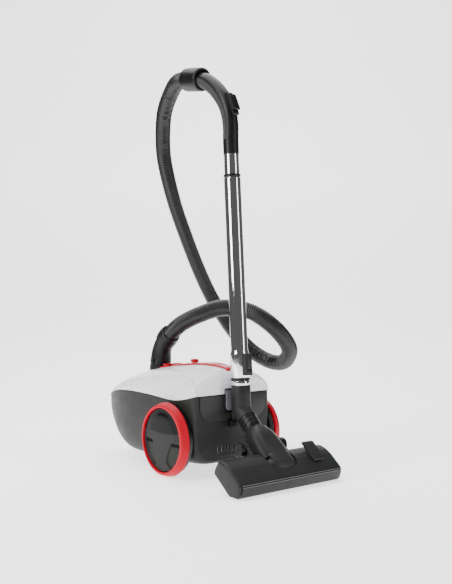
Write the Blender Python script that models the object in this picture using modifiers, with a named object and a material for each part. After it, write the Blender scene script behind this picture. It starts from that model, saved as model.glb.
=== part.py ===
"""Canister vacuum cleaner, parked: the wand stands in the bracket on the rear wall and the floor head hangs below it.

The canister's nose points along +Y, its wheels' axle is the line Y = 0 of the assembly, and Z is up.
All the numbers here are millimetres and degrees; the helper functions turn them into metres and radians.
"""
import math

import bmesh
import bpy
from mathutils import Matrix, Vector

MM = 0.001
NAME = "canister_vacuum"
GAP = 0.35  # clearance between a fixed piece and its neighbour

# ---------------------------------------------------------------- driving dimensions
ASSEMBLY_Y = -41.157  # puts the middle of the whole object's floor area at the origin

WALL = 2.5
SEAM = 0.5

WHEEL_R = 75.2
WHEEL_FACE_X = 132.5
TYRE_W = 18.5
CAP_R = 63.7
HUB_INNER_X = 103.5

LID_HINGE = (118.0, 210.0)  # Y and Z of the hinge line
INLET_Y = 190.0
INLET_Z = 205.0

CASTER_Y = 195.0
CASTER_TRAIL = 12.0
CASTER_R = 16.5

MOTOR_Y = 172.0
MOTOR_Z = 101.5
REEL_Y = 30.0
REEL_Z = 48.0

WAND_FOOT = (0.0, -95.0, 186.0)  # lower end of the visible inner tube
WAND_LEAN = 3.68
NECK_AT = (0.0, -124.5, 110.0)  # middle of the swivel collar
NECK_LEAN = 45.0
HEAD_AT = (0.0, -226.0, -5.0)  # where the sole's plane meets the front edge of the ridge
HEAD_LEAN = 38.5
HEAD_HALF = 134.0
TILT_PIVOT = (38.5, 23.2)  # along and above the sole, in the head's own frame

HOSE_R = 18.6
HOSE_SPLITS = (0.19, 0.53)  # shares of the hose's length at which one stretch hands over to the next
# Points on the middle of the hose, from the elbow over the canister, round the loop and up to the handle.
HOSE_ROUTE = (
    (0, 153, 280), (1, 134, 293), (6, 112, 307), (20, 68, 326), (44, 20, 341), (81, -23, 335), (120, -44, 310),
    (165, -44, 276), (208, -20, 242), (255, 52, 210), (273, 125, 208), (275, 194, 232), (263, 252, 281),
    (238, 297, 355), (213, 321, 427), (185, 338, 510), (151, 344, 598), (114, 331, 683), (86, 305, 739),
    (51, 250, 800), (26, 188, 835), (5, 130, 848), (0, 86, 844),
)

# Body sections along Y: half width, height of the underside, height of the top, and how square the lower half is.
BODY = (
    (-70.0, 96.0, 33.0, 201.0, 6.0),
    (-66.0, 101.0, 28.5, 209.0, 6.5),
    (-52.0, 103.0, 25.5, 217.0, 7.0),
    (0.0, 103.5, 23.0, 222.0, 7.0),
    (60.0, 104.5, 22.5, 218.5, 7.0),
    (120.0, 106.5, 22.5, 211.0, 7.0),
    (180.0, 105.0, 24.0, 199.0, 6.8),
    (230.0, 97.0, 34.0, 180.5, 5.0),
    (270.0, 84.0, 52.0, 157.5, 3.6),
    (300.0, 67.0, 72.0, 140.0, 3.0),
    (320.0, 48.0, 90.0, 126.5, 2.7),
    (331.0, 32.0, 102.0, 119.0, 2.5),
    (336.0, 19.0, 107.5, 116.0, 2.5),
)
# The line along the side where the white shell meets the dark one: Y and Z.
PARTING = (
    (-70.0, 166.5), (-40.0, 159.0), (0.0, 154.0), (50.0, 156.5), (96.0, 159.5), (165.0, 160.0),
    (220.0, 155.0), (270.0, 143.5), (300.0, 131.5), (320.0, 120.5), (336.0, 112.5),
)
BODY_STATIONS = 16
FLAT_Z = 24.5  # height of the flat middle of the underside

# ---------------------------------------------------------------- scene and materials


def clear_scene():
    for item in list(bpy.data.objects):
        bpy.data.objects.remove(item, do_unlink=True)


def new_collection(name):
    made = bpy.data.collections.new(name)
    bpy.context.scene.collection.children.link(made)
    return made


def material(name, colour, roughness, metallic=0.0):
    made = bpy.data.materials.get(name) or bpy.data.materials.new(name)
    made.use_nodes = True
    shader = made.node_tree.nodes["Principled BSDF"]
    shader.inputs["Base Color"].default_value = (*colour, 1.0)
    shader.inputs["Roughness"].default_value = roughness
    shader.inputs["Metallic"].default_value = metallic
    made.diffuse_color = (*colour, 1.0)
    return made


FINISHES = {
    "dark_plastic": ((0.045, 0.047, 0.046), 0.45, 0.0),
    "black_plastic": ((0.012, 0.012, 0.013), 0.4, 0.0),
    "gloss_black": ((0.006, 0.006, 0.007), 0.08, 0.0),
    "white_plastic": ((0.78, 0.77, 0.81), 0.25, 0.0),
    "red_plastic": ((0.62, 0.01, 0.02), 0.28, 0.0),
    "latch_grey": ((0.2, 0.19, 0.22), 0.4, 0.0),
    "chrome": ((0.8, 0.8, 0.82), 0.08, 1.0),
    "steel": ((0.5, 0.5, 0.5), 0.35, 1.0),
    "hose_black": ((0.014, 0.014, 0.015), 0.38, 0.0),
    "bag_paper": ((0.7, 0.66, 0.56), 0.9, 0.0),
    "filter_felt": ((0.8, 0.82, 0.84), 0.95, 0.0),
    "bristle": ((0.02, 0.02, 0.02), 0.8, 0.0),
    "grey_plastic": ((0.3, 0.31, 0.32), 0.5, 0.0),
}

# ---------------------------------------------------------------- building helpers


class Build:
    """Where new objects go: the parts' collection, and the one for cutters."""

    parts = None
    cutters = None


def vec(point):
    return Vector(point) * MM


def empty(name, at=(0, 0, 0), tilt_x=0.0, parent=None):
    made = bpy.data.objects.new(name, None)
    made.empty_display_size = 20 * MM
    Build.parts.objects.link(made)
    made.parent = parent
    made.location = vec(at)
    made.rotation_euler = (math.radians(tilt_x), 0.0, 0.0)
    return made


def add(name, mesh, finish, parent, pivot=(0, 0, 0)):
    """Adds a part whose mesh is given in its parent's frame, and moves its origin to the pivot."""
    mesh.transform(Matrix.Translation(-vec(pivot)))
    made = bpy.data.objects.new(name, mesh)
    Build.parts.objects.link(made)
    made.parent = parent
    made.location = vec(pivot)
    made.data.materials.append(material(f"{name}_{finish}", *FINISHES[finish]))
    mesh.shade_smooth()
    mesh.set_sharp_from_angle(angle=math.radians(32))
    return made


def tool(name, mesh, parent):
    """Adds a cutter or a shape that is joined to a part."""
    made = bpy.data.objects.new(name, mesh)
    Build.cutters.objects.link(made)
    made.parent = parent
    made.hide_render = True
    made.display_type = "WIRE"
    return made


def combine(part, operation, *tools):
    for item in tools:
        step = part.modifiers.new(f"{operation.lower()}_{item.name}", "BOOLEAN")
        step.operation = operation
        step.solver = "EXACT"
        step.object = item


def cut(part, *tools):
    combine(part, "DIFFERENCE", *tools)


def keep(part, *tools):
    combine(part, "INTERSECT", *tools)


def join(part, *tools):
    combine(part, "UNION", *tools)


def bevel(part, width, segments=2, angle=35):
    step = part.modifiers.new("edges", "BEVEL")
    step.width = width * MM
    step.segments = segments
    step.limit_method = "ANGLE"
    step.angle_limit = math.radians(angle)
    return part


def shell(part, thickness):
    step = part.modifiers.new("wall", "SOLIDIFY")
    step.thickness = thickness * MM
    step.offset = -1.0
    step.use_even_offset = True
    return part


def mesh_from(bm, name):
    made = bpy.data.meshes.new(name)
    bm.to_mesh(made)
    bm.free()
    return made


def box(name, low, high, round_by=0.0, segments=2):
    """A block between two corners, with its edges rounded if asked."""
    bm = bmesh.new()
    size = [h - l for l, h in zip(low, high)]
    middle = [(l + h) / 2 for l, h in zip(low, high)]
    bmesh.ops.create_cube(bm, size=1.0, matrix=Matrix.LocRotScale(vec(middle), None, vec(size)))
    if round_by:
        bmesh.ops.bevel(
            bm, geom=bm.edges[:], offset=round_by * MM, segments=segments, affect="EDGES", profile=0.5
        )
    return mesh_from(bm, name)


def rod(name, radius, low, high, axis="Z", at=(0, 0), sides=28):
    """A cylinder from low to high along one axis; at is its place on the other two axes, in order."""
    turn = {
        "X": Matrix.Rotation(math.radians(90), 4, "Y"),
        "Y": Matrix.Rotation(math.radians(-90), 4, "X"),
        "Z": Matrix.Identity(4),
    }[axis]
    middle = (low + high) / 2
    place = {
        "X": (middle, at[0], at[1]),
        "Y": (at[0], middle, at[1]),
        "Z": (at[0], at[1], middle),
    }[axis]
    bm = bmesh.new()
    bmesh.ops.create_cone(
        bm,
        cap_ends=True,
        segments=sides,
        radius1=radius * MM,
        radius2=radius * MM,
        depth=(high - low) * MM,
        matrix=Matrix.Translation(vec(place)) @ turn,
    )
    return mesh_from(bm, name)


def turned(name, profile, finish, parent, axis="Z", at=(0, 0, 0), sides=20):
    """A piece turned on an axis. The profile lists (radius, height) round the section, outer side downwards."""
    bm = bmesh.new()
    points = []
    for radius, height in profile:
        points.append(bm.verts.new(vec((radius, 0, height))))
    on_axis = profile[0][0] == 0 and profile[-1][0] == 0
    for one, two in zip(points, points[1:]):
        bm.edges.new((one, two))
    if not on_axis:
        bm.edges.new((points[-1], points[0]))
    turn = {
        "X": Matrix.Rotation(math.radians(90), 4, "Y"),
        "Y": Matrix.Rotation(math.radians(-90), 4, "X"),
        "Z": Matrix.Identity(4),
    }[axis]
    made = bpy.data.objects.new(name, mesh_from(bm, name))
    Build.parts.objects.link(made)
    made.parent = parent
    made.location = vec(at)
    made.rotation_euler = turn.to_euler()
    made.data.materials.append(material(f"{name}_{finish}", *FINISHES[finish]))
    screw = made.modifiers.new("turn", "SCREW")
    screw.axis = "Z"
    screw.angle = 2 * math.pi
    screw.steps = sides
    screw.render_steps = sides
    screw.use_merge_vertices = True
    screw.merge_threshold = 0.00002
    screw.use_smooth_shade = True
    return made


def as_tool(part):
    """Turns a part into a shape that is cut out of, or joined to, another part."""
    Build.parts.objects.unlink(part)
    Build.cutters.objects.link(part)
    part.hide_render = True
    part.display_type = "WIRE"
    return part


def loft(name, rings, ring_closed=True, path_closed=False, cap=True):
    """Skins rings of equally many points. A closed path joins the last ring to the first."""
    bm = bmesh.new()
    rows = [[bm.verts.new(vec(p)) for p in ring] for ring in rings]
    count = len(rows[0])
    pairs = list(zip(rows, rows[1:]))
    if path_closed:
        pairs.append((rows[-1], rows[0]))
    for one, two in pairs:
        for i in range(count if ring_closed else count - 1):
            j = (i + 1) % count
            bm.faces.new((one[i], one[j], two[j], two[i]))
    if cap and not path_closed:
        bm.faces.new(rows[0][::-1])
        bm.faces.new(rows[-1])
    bmesh.ops.recalc_face_normals(bm, faces=bm.faces[:])
    return mesh_from(bm, name)


def prism(name, outline, low, high, axis="Z"):
    """An outline pushed along an axis. Its points are (x, y) for Z, (y, z) for X."""
    def lifted(height):
        return [(a, b, height) if axis == "Z" else (height, a, b) for a, b in outline]

    return loft(name, [lifted(low), lifted(high)])


def prism_y(name, outline, low, high):
    """An outline of (x, z) points pushed along Y."""
    return loft(name, [[(x, y, z) for x, z in outline] for y in (low, high)])


def u_outline(half, bottom, top, corner, steps=6):
    """A panel seen from behind, with square upper corners and round lower ones."""
    right = [
        (half - corner * (1 - math.cos(a)), bottom + corner * (1 - math.sin(a)))
        for a in (math.pi / 2 * k / steps for k in range(steps + 1))
    ]
    return [(half, top), *right, *((-x, z) for x, z in reversed(right)), (-half, top)]


def smooth_line(points, steps):
    """A Catmull-Rom curve through the points, sampled evenly along its length."""
    knots = [Vector(p) for p in points]
    knots = [2 * knots[0] - knots[1], *knots, 2 * knots[-1] - knots[-2]]
    fine = []
    for a, b, c, d in zip(knots, knots[1:], knots[2:], knots[3:]):
        for k in range(24):
            t = k / 24
            fine.append(
                0.5 * (2 * b + (c - a) * t + (2 * a - 5 * b + 4 * c - d) * t**2 + (3 * b - a - 3 * c + d) * t**3)
            )
    fine.append(knots[-2])
    along = [0.0]
    for one, two in zip(fine, fine[1:]):
        along.append(along[-1] + (two - one).length)
    found, k = [], 0
    for i in range(steps + 1):
        want = along[-1] * i / steps
        while k < len(along) - 2 and along[k + 1] < want:
            k += 1
        share = (want - along[k]) / max(along[k + 1] - along[k], 1e-9)
        found.append(fine[k].lerp(fine[k + 1], min(share, 1.0)))
    return found


def curve_value(table, at, column):
    """A value from a table of rows sorted by their first number, on a smooth curve between the rows."""
    xs = [row[0] for row in table]
    ys = [row[column] for row in table]
    at = min(max(at, xs[0]), xs[-1])
    k = max(i for i in range(len(xs) - 1) if xs[i] <= at)
    slopes = []
    for i in (k, k + 1):
        if i in (0, len(xs) - 1):
            j = min(i, len(xs) - 2)
            slopes.append((ys[j + 1] - ys[j]) / (xs[j + 1] - xs[j]))
        else:
            slopes.append((ys[i + 1] - ys[i - 1]) / (xs[i + 1] - xs[i - 1]))
    span = xs[k + 1] - xs[k]
    t = (at - xs[k]) / span
    return (
        (2 * t**3 - 3 * t**2 + 1) * ys[k]
        + (t**3 - 2 * t**2 + t) * span * slopes[0]
        + (3 * t**2 - 2 * t**3) * ys[k + 1]
        + (t**3 - t**2) * span * slopes[1]
    )


def swept(name, path, radii, bores=None, sides=16):
    """A round or oval tube along a path in the plane X = 0. Radii are numbers or (across X, in the plane)."""
    def ring(i, radius):
        before = Vector(path[max(i - 1, 0)])
        after = Vector(path[min(i + 1, len(path) - 1)])
        if (after - before).length < 1e-6:
            after = Vector(path[i]) + (Vector(path[i]) - Vector(path[i - 2]))
        run = (after - before).normalized()
        side = Vector((-run.y, run.x))
        wide, deep = radius if isinstance(radius, tuple) else (radius, radius)
        found = []
        for k in range(sides):
            angle = 2 * math.pi * k / sides
            y, z = Vector(path[i]) + side * deep * math.sin(angle)
            found.append((wide * math.cos(angle), y, z))
        return found

    outer = [ring(i, radii[i]) for i in range(len(path))]
    if bores is None:
        return loft(name, outer)
    inner = [ring(i, bores[i]) for i in reversed(range(len(path)))]
    return loft(name, outer + inner, path_closed=True)


# ---------------------------------------------------------------- canister body


def body_at(y):
    return tuple(curve_value(BODY, y, column) for column in (1, 2, 3))


def stations():
    """Places along Y for the body's sections, closer together at the two ends."""
    middle = [-52.0 + (300.0 + 52.0) * i / (BODY_STATIONS - 6) for i in range(BODY_STATIONS - 5)]
    return [-70.0, -66.0, *middle, 318.0, 330.0, 336.0]


def upright_rims(ring, rise):
    """Makes a section's two rims upright for a short way, so that the wall's thickness stays level there."""
    (x0, y0, z0), (x1, y1, z1) = ring[0], ring[-1]
    return [ring[0], (x0, y0, z0 + rise), *ring[1:-1], (x1, y1, z1 + rise), ring[-1]]


def upper_ring(y, points=15):
    """The white skin's section: from the parting line on the right, over the top, to the left."""
    half, _, top = body_at(y)
    seam = curve_value(PARTING, y, 1) + SEAM / 2
    found = []
    for k in range(points):
        angle = math.pi * k / (points - 1)
        c, s = math.cos(angle), max(math.sin(angle), 0.0)
        x = half * math.copysign(abs(c) ** (2 / 2.3), c)
        found.append((x, y, seam + (top - seam) * s ** (2 / 2.3)))
    return upright_rims(found, 2.0)


def lower_ring(y, points=15):
    """The dark skin's section: from the parting line down round the underside."""
    half, bottom, _ = body_at(y)
    half -= 2.2 * min(1.0, (half / 90) ** 2)
    power = curve_value(BODY, y, 4)
    seam = curve_value(PARTING, y, 1) - SEAM / 2
    found = []
    for k in range(points):
        angle = math.pi * k / (points - 1)
        c, s = math.cos(angle), max(math.sin(angle), 0.0)
        x = half * math.copysign(abs(c) ** (2 / power), c)
        found.append((x, y, max(seam - (seam - bottom) * s ** (2 / power), FLAT_Z)))
    return upright_rims(found, -2.0)


def upper_skin(name):
    return loft(name, [upper_ring(y) for y in stations()], ring_closed=False)


def lid_outline(grow):
    """The lid's outline from above, grown outwards by a clearance."""
    half = [(0, 116.6), (25, 116.6), (37, 108.7), (47, 88), (59, 62), (77, 2), (86, -42), (92.5, -62), (95, -90)]
    right = [(x + grow * (x > 0), y + grow * (y > 100)) for x, y in half]
    return right + [(-x, y) for x, y in reversed(right[1:])]


def nose_outline(grow):
    """The region in front of the nose cover's seam, which bulges forward in the middle."""
    seam = [(x, 239 - 73 * (x / 95) ** 2 - grow) for x in range(-120, 121, 20)]
    return seam + [(120, 360), (-120, 360)]


def build_body(root):
    lower = add("lower_shell", loft("lower_shell", [lower_ring(y) for y in stations()], ring_closed=False),
                "dark_plastic", root)
    shell(lower, WALL)
    cut(
        lower,
        tool("axle_holes", rod("axle_holes", 8.5, -130, 130, "X", (0, WHEEL_R)), root),
        tool("caster_hole", rod("caster_hole", 33.4, 10, 60, "Z", (0, CASTER_Y)), root),
        *(tool(f"vent_{i}", box(f"vent_{i}", (9.6 * i - 1.7, -80, 44), (9.6 * i + 1.7, -62, 62)), root)
          for i in range(-4, 5)),
        tool("gland_hole", rod("gland_hole", 9.4, -85, -60, "Y", (56, 86)), root),
    )

    upper = add("upper_shell", upper_skin("upper_shell"), "white_plastic", root)
    shell(upper, WALL)
    cut(
        upper,
        tool("lid_opening", prism("lid_opening", lid_outline(0.35), 100, 260), root),
        tool("nose_opening", prism("nose_opening", nose_outline(SEAM / 2), 60, 260), root),
        tool("inlet_hole", rod("inlet_hole", 26.3, 160, 230, "Z", (0, INLET_Y)), root),
    )

    nose = add("nose_cover", upper_skin("nose_cover"), "white_plastic", root)
    shell(nose, WALL)
    keep(nose, tool("nose_region", prism("nose_region", nose_outline(-SEAM / 2), 60, 260), root))

    turned("inlet_collar", [(25.2, 7.2), (25.8, 6.2), (25.8, -12), (19.2, -12), (19.2, 7.2)],
           "black_plastic", root, at=(0, INLET_Y, INLET_Z - 5.0))
    duct = [(INLET_Y, 195), (INLET_Y, 187), (INLET_Y - 3, 177), (INLET_Y - 12, 169), (INLET_Y - 26, 166.5),
            (INLET_Y - 55, 166), (INLET_Y - 82, 166)]
    count = len(duct)
    add("inlet_duct", swept("inlet_duct", duct, [17.0] * count, [15.4] * count, sides=16), "grey_plastic", root)


def build_lid(root):
    """The rear lid over the bag compartment, hinged along its front edge."""
    lid = add("rear_lid", upper_skin("rear_lid"), "white_plastic", root, pivot=(0, *LID_HINGE))
    shell(lid, WALL)
    keep(lid, tool("lid_region", prism("lid_region", lid_outline(-GAP), 100, 260), root))
    cut(lid, tool("latch_notch", box("latch_notch", (-22.5, -80, 150), (22.5, -60, 178)), root))


def strip_ring(y, half, lift_low, lift_high, points=9):
    """A thin arched section that follows the body's top, between two heights above it."""
    width, _, top = body_at(y)
    seam = curve_value(PARTING, y, 1) + SEAM / 2

    def height(x):
        share = 1 - abs(x / width) ** 2.3
        return seam + (top - seam) * share ** (1 / 2.3)

    across = [half - 2 * half * i / (points - 1) for i in range(points)]
    upper = [(x, y, height(x) + lift_high) for x in across]
    lower = [(x, y, height(x) + lift_low) for x in reversed(across)]
    return upper + lower


def build_strips(root):
    front_at = [(119.5, 28), (128, 29), (140, 29.5), (150, 29), (156.5, 27)]
    add("front_strip", loft("front_strip", [strip_ring(y, half, GAP, 3.2) for y, half in front_at]),
        "red_plastic", root)
    cut(bpy.data.objects["front_strip"],
        tool("button_wells", box("button_wells", (-24, 133, 195), (24, 150, 230)), root))
    rear_at = [(-62, 9), (-20, 17), (30, 25), (80, 28.6), (115.0, 26)]
    along = [-62, *(y for y in stations() if -60 < y < 112), 115.0]
    rows = [strip_ring(y, curve_value(rear_at, y, 1), 0.5, 3.6) for y in along]
    add("lid_spine", loft("lid_spine", rows), "red_plastic", root, pivot=(0, *LID_HINGE))

    knob_base = body_at(61.0)[2] + 3.6 + 1.0
    turned("flow_knob", [(0, 6.6), (7.4, 6.6), (8.6, 5.4), (9.0, 0), (0, 0)], "red_plastic", root,
           at=(0, 61, knob_base), sides=32)

    for name, x in (("power_button", 12.4), ("rewind_button", -12.4)):
        top = body_at(141.5)[2]
        add(name, box(name, (x - 10.6, 134, top + 3.2), (x + 10.6, 149, top + 7.5), 1.2), "red_plastic", root)


def build_latch(root):
    plate = [(-74.6, 133.5), (-74.6, 171.5), (-73.2, 174.5), (-70.8, 174.5), (-70.8, 133.5)]
    latch = add("lid_latch", prism("lid_latch", plate, -21, 21, "X"), "latch_grey", root, pivot=(0, -72.5, 154))
    bevel(latch, 1.0)


def build_exhaust(root):
    """The dark panel below the lid, the exhaust filter behind the vents near the floor, and the cord's gland."""
    cover = add("exhaust_cover", prism_y("exhaust_cover", u_outline(87.0, 114.0, 165.0, 30.0), -73.0, -70.5),
                "dark_plastic", root)
    bevel(cover, 0.7, 1)
    cut(cover, tool("latch_slot", box("latch_slot", (-23, -80, 128), (23, -60, 180)), root))
    add("exhaust_filter", box("exhaust_filter", (-46, -66.6, 41), (46, -60.6, 65), 0.6, 1),
        "filter_felt", root)
    add("cord_gland", rod("cord_gland", 9.0, -74.5, -62, "Y", (56, 86), 24), "black_plastic", root)
    gland = bpy.data.objects["cord_gland"]
    cut(gland, tool("gland_bore", rod("gland_bore", 4.2, -80, -55, "Y", (56, 86), 20), root))


def build_park_bracket(root):
    bracket = add("park_bracket", box("park_bracket", (-14, -84.0, 99), (14, -70.4, 112.5), 1.0), "black_plastic",
                  root)
    cut(bracket, tool("park_slot", box("park_slot", (-9.6, -80.8, 102.5), (9.6, -76.4, 125)), root))


def build_bag_bay(root):
    """The open tub under the lid with the bag holder, the bag and the motor filter."""
    tub = add("bag_tub", box("bag_tub", (-79, -61, 70), (79, 100, 146), 4.0), "dark_plastic", root)
    cut(tub,
        tool("tub_inside", box("tub_inside", (-76.6, -58.6, 72.4), (76.6, 97.6, 170)), root),
        tool("tub_air_hole", box("tub_air_hole", (-38, 90, 76), (38, 110, 128)), root))
    holder = add("bag_holder", box("bag_holder", (-46, 93.2, 131), (46, 96.8, 186), 1.0, 1), "grey_plastic", root)
    cut(holder, tool("holder_hole", rod("holder_hole", 17.6, 80, 110, "Y", (0, 166), 28), root),
        tool("holder_tub_slot", box("holder_tub_slot", (-60, 97.2, 120), (60, 110, 200)), root))
    add("dust_bag", box("dust_bag", (-68, -48, 78), (68, 84, 176), 26.0, 4), "bag_paper", root)
    add("motor_filter", box("motor_filter", (-42, 88.5, 74), (42, 93.0, 129), 1.2, 1), "filter_felt", root)


def build_motor(root):
    turned("motor_housing",
           [(42, 58), (42, -50), (39.5, -50), (39.5, 55.5), (8, 55.5), (8, 42), (5, 42), (5, 58)],
           "dark_plastic", root, axis="Y", at=(0, MOTOR_Y, MOTOR_Z), sides=28)
    turned("motor_stator", [(38.0, 36), (38.0, -20), (27, -20), (27, 36)], "steel", root, axis="Y",
           at=(0, MOTOR_Y, MOTOR_Z), sides=20)
    turned("motor_rotor",
           [(0, 50), (4.2, 50), (4.2, 32), (24, 32), (24, -16), (6, -16), (6, -30), (37, -30), (37, -44), (0, -44)],
           "steel", root, axis="Y", at=(0, MOTOR_Y, MOTOR_Z), sides=20)
    turned("cord_reel",
           [(58, 15), (58, 12.5), (20, 12.5), (20, -10.5), (58, -10.5), (58, -13), (7, -13), (7, 15)],
           "grey_plastic", root, at=(0, REEL_Y, REEL_Z), sides=28)


# ---------------------------------------------------------------- wheels


def build_wheels(root):
    seat = WHEEL_FACE_X - TYRE_W
    for side, sign in (("left", -1), ("right", 1)):
        axle_frame = empty(f"wheel_{side}_axis", (0, 0, WHEEL_R), parent=root)
        axle_frame.rotation_euler = (0, 0, math.pi if sign < 0 else 0)
        tyre = [
            (64.8, WHEEL_FACE_X), (67.5, WHEEL_FACE_X), (71.0, WHEEL_FACE_X - 4.5), (WHEEL_R, seat + 2.2),
            (WHEEL_R, seat + 1.0), (WHEEL_R - 1.2, seat + 0.4), (64.8, seat + 0.4),
        ]
        turned(f"tyre_{side}", tyre, "red_plastic", axle_frame, axis="X", sides=30)
        hub = [
            (8.0, 123.4), (64.4, 123.4), (64.4, seat), (71.8, seat), (72.2, seat - 1.2), (70.0, HUB_INNER_X),
            (60, HUB_INNER_X), (60, 118.2), (24, 118.2), (24, 107), (8.0, 107),
        ]
        turned(f"hub_{side}", hub, "black_plastic", axle_frame, axis="X", sides=30)
        cap = [(0, 130.4), (40, 130.0), (CAP_R - 0.9, 128.6), (CAP_R - 0.4, 124), (58, 124), (56, 126.6), (0, 127.0)]
        turned(f"cap_{side}", cap, "gloss_black", axle_frame, axis="X", sides=30)
        axle = [(0, 125.8), (10.5, 125.8), (10.5, 124), (6.8, 124), (6.8, 86.5), (14, 86.5), (14, 81), (0, 81)]
        turned(f"axle_{side}", axle, "steel", axle_frame, axis="X", sides=20)


def build_caster(root):
    at = (0, CASTER_Y, 0)
    turned("caster_socket",
           [(33, 52), (33, 29), (30.5, 29), (30.5, 49.4), (9.5, 49.4), (9.5, 43), (4.8, 43), (4.8, 55), (9.5, 55),
            (9.5, 52)], "black_plastic", root, at=at, sides=24)
    swivel = empty("caster_swivel_axis", at, parent=root)
    fork = turned("caster_fork", [(0, 56.5), (4.2, 56.5), (4.2, 40), (26, 40), (26, 37), (0, 37)], "black_plastic",
                  swivel)
    cheek = [(2, 38), (-20, 38), (-18.5, 14), (-15, 10.5), (-9, 10.5), (-5, 14)]
    for side, sign in (("left", -1), ("right", 1)):
        low, high = sorted((sign * 9.6, sign * 12.8))
        join(fork, tool(f"cheek_{side}", prism(f"cheek_{side}", cheek, low, high, "X"), swivel))
    join(fork, tool("caster_pin", rod("caster_pin", 2.6, -12.5, 12.5, "X", (-CASTER_TRAIL, CASTER_R), 20), swivel))
    wheel = [(CASTER_R - 1.5, 7.8), (CASTER_R, 5.6), (CASTER_R, -5.6), (CASTER_R - 1.5, -7.8), (3.3, -7.8),
             (3.3, 7.8)]
    turned("caster_wheel", wheel, "dark_plastic", swivel, axis="X", at=(0, -CASTER_TRAIL, CASTER_R))


# ---------------------------------------------------------------- hose


def build_elbow(root):
    frame = empty("elbow_swivel_axis", (0, INLET_Y, 0), parent=root)
    path = [(0, 196.4), (0, 207.6), (0, 208), (0, 211), (0, 211.4), (-1, 226), (-4, 241), (-11, 255),
            (-19, 265), (-20.4, 266.3), (-30, 274.4), (-40.6, 282.6)]
    radii = [18.4, 18.4, 25.2, 25.2, 23.8, 23.4, 22.2, 21.2, 20.6, 22.8, 22.4, 22.0]
    bores = [15.2] * 9 + [20.0, 20.0, 20.0]
    elbow = add("hose_elbow", swept("hose_elbow", path, radii, bores, sides=16), "black_plastic", frame)
    cut(elbow, tool("elbow_button_well", rod("elbow_button_well", 6.2, -36, -19.6, "X", (0.3, 218.9), 14), frame))
    button = add("elbow_button", rod("elbow_button", 5.5, -26.4, -21.8, "X", (0.3, 218.9), 14), "dark_plastic",
                 frame)
    bevel(button, 0.8)


def build_hose(root):
    """The hose in three stretches of one smooth route."""
    line = smooth_line(HOSE_ROUTE, 54)
    last = len(line) - 1
    marks = [0, round(HOSE_SPLITS[0] * last), round(HOSE_SPLITS[1] * last), last]
    for name, first, end in zip(("hose_lower", "hose_middle", "hose_upper"), marks, marks[1:]):
        points = [p.copy() for p in line[first:end + 1]]
        # A short straight at each split makes the two end faces parallel.
        if first:
            run = (line[first + 1] - line[first - 1]).normalized()
            points[0:1] = [line[first] + run * 0.25, line[first] + run * 3.0]
        if end < last:
            run = (line[end + 1] - line[end - 1]).normalized()
            points[-1:] = [line[end] - run * 3.0, line[end] - run * 0.25]
        data = bpy.data.curves.new(name, "CURVE")
        data.dimensions = "3D"
        data.bevel_depth = HOSE_R * MM
        data.bevel_resolution = 2
        data.use_fill_caps = True
        spline = data.splines.new("POLY")
        spline.points.add(len(points) - 1)
        for slot, p in zip(spline.points, points):
            slot.co = (*(p * MM), 1.0)
        data.materials.append(material(f"{name}_hose_black", *FINISHES["hose_black"]))
        made = bpy.data.objects.new(name, data)
        Build.parts.objects.link(made)
        made.parent = root


# ---------------------------------------------------------------- wand and handle

HANDLE_PATH = ((-64.5, 660.2), (-63.6, 690.0), (-62.2, 720.7), (-55.5, 749.0), (-40.4, 776.5), (-17.1, 801.7),
               (8.5, 821.0), (25.0, 829.6), (44.0, 835.4))
CUFF_AT = (58.0, 838.6)
CUFF_LEAN = 10.0


def build_wand(wand):
    """Tubes in the wand's own frame, whose Z axis is the tubes' axis."""
    turned("inner_tube",
           [(15.5, 398), (15.5, 8.6), (19.0, 8.6), (19.0, 1.4), (15.5, 1.4), (15.5, -52), (14.0, -52), (14.0, 398)],
           "chrome", wand)
    turned("end_band", [(19.6, 14.6), (19.6, 9.4), (16.3, 9.4), (16.3, 14.6)], "black_plastic", wand)
    turned("outer_tube",
           [(15.75, 474), (15.75, 427), (17.5, 426.4), (17.5, 70), (19.5, 64), (19.5, 15.2), (16.2, 15.2),
            (16.2, 415), (14.4, 420), (14.4, 474)], "chrome", wand)
    turned("tube_ring", [(17.9, 432.4), (17.9, 428), (16.1, 428), (16.1, 432.4)], "black_plastic", wand)

    block = add("lock_housing", box("lock_housing", (-8.8, -29.5, 20), (8.8, -14, 64), 1.8), "black_plastic", wand)
    cut(block, tool("lock_seat", rod("lock_seat", 19.9, 0, 80, "Z", (0, 0), 32), wand),
        tool("lock_well", box("lock_well", (-6.0, -31, 28), (6.0, -26.4, 56)), wand))
    button = add("lock_button", box("lock_button", (-5.5, -32.0, 33), (5.5, -26.9, 55.4), 1.2), "dark_plastic", wand)
    return button


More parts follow.
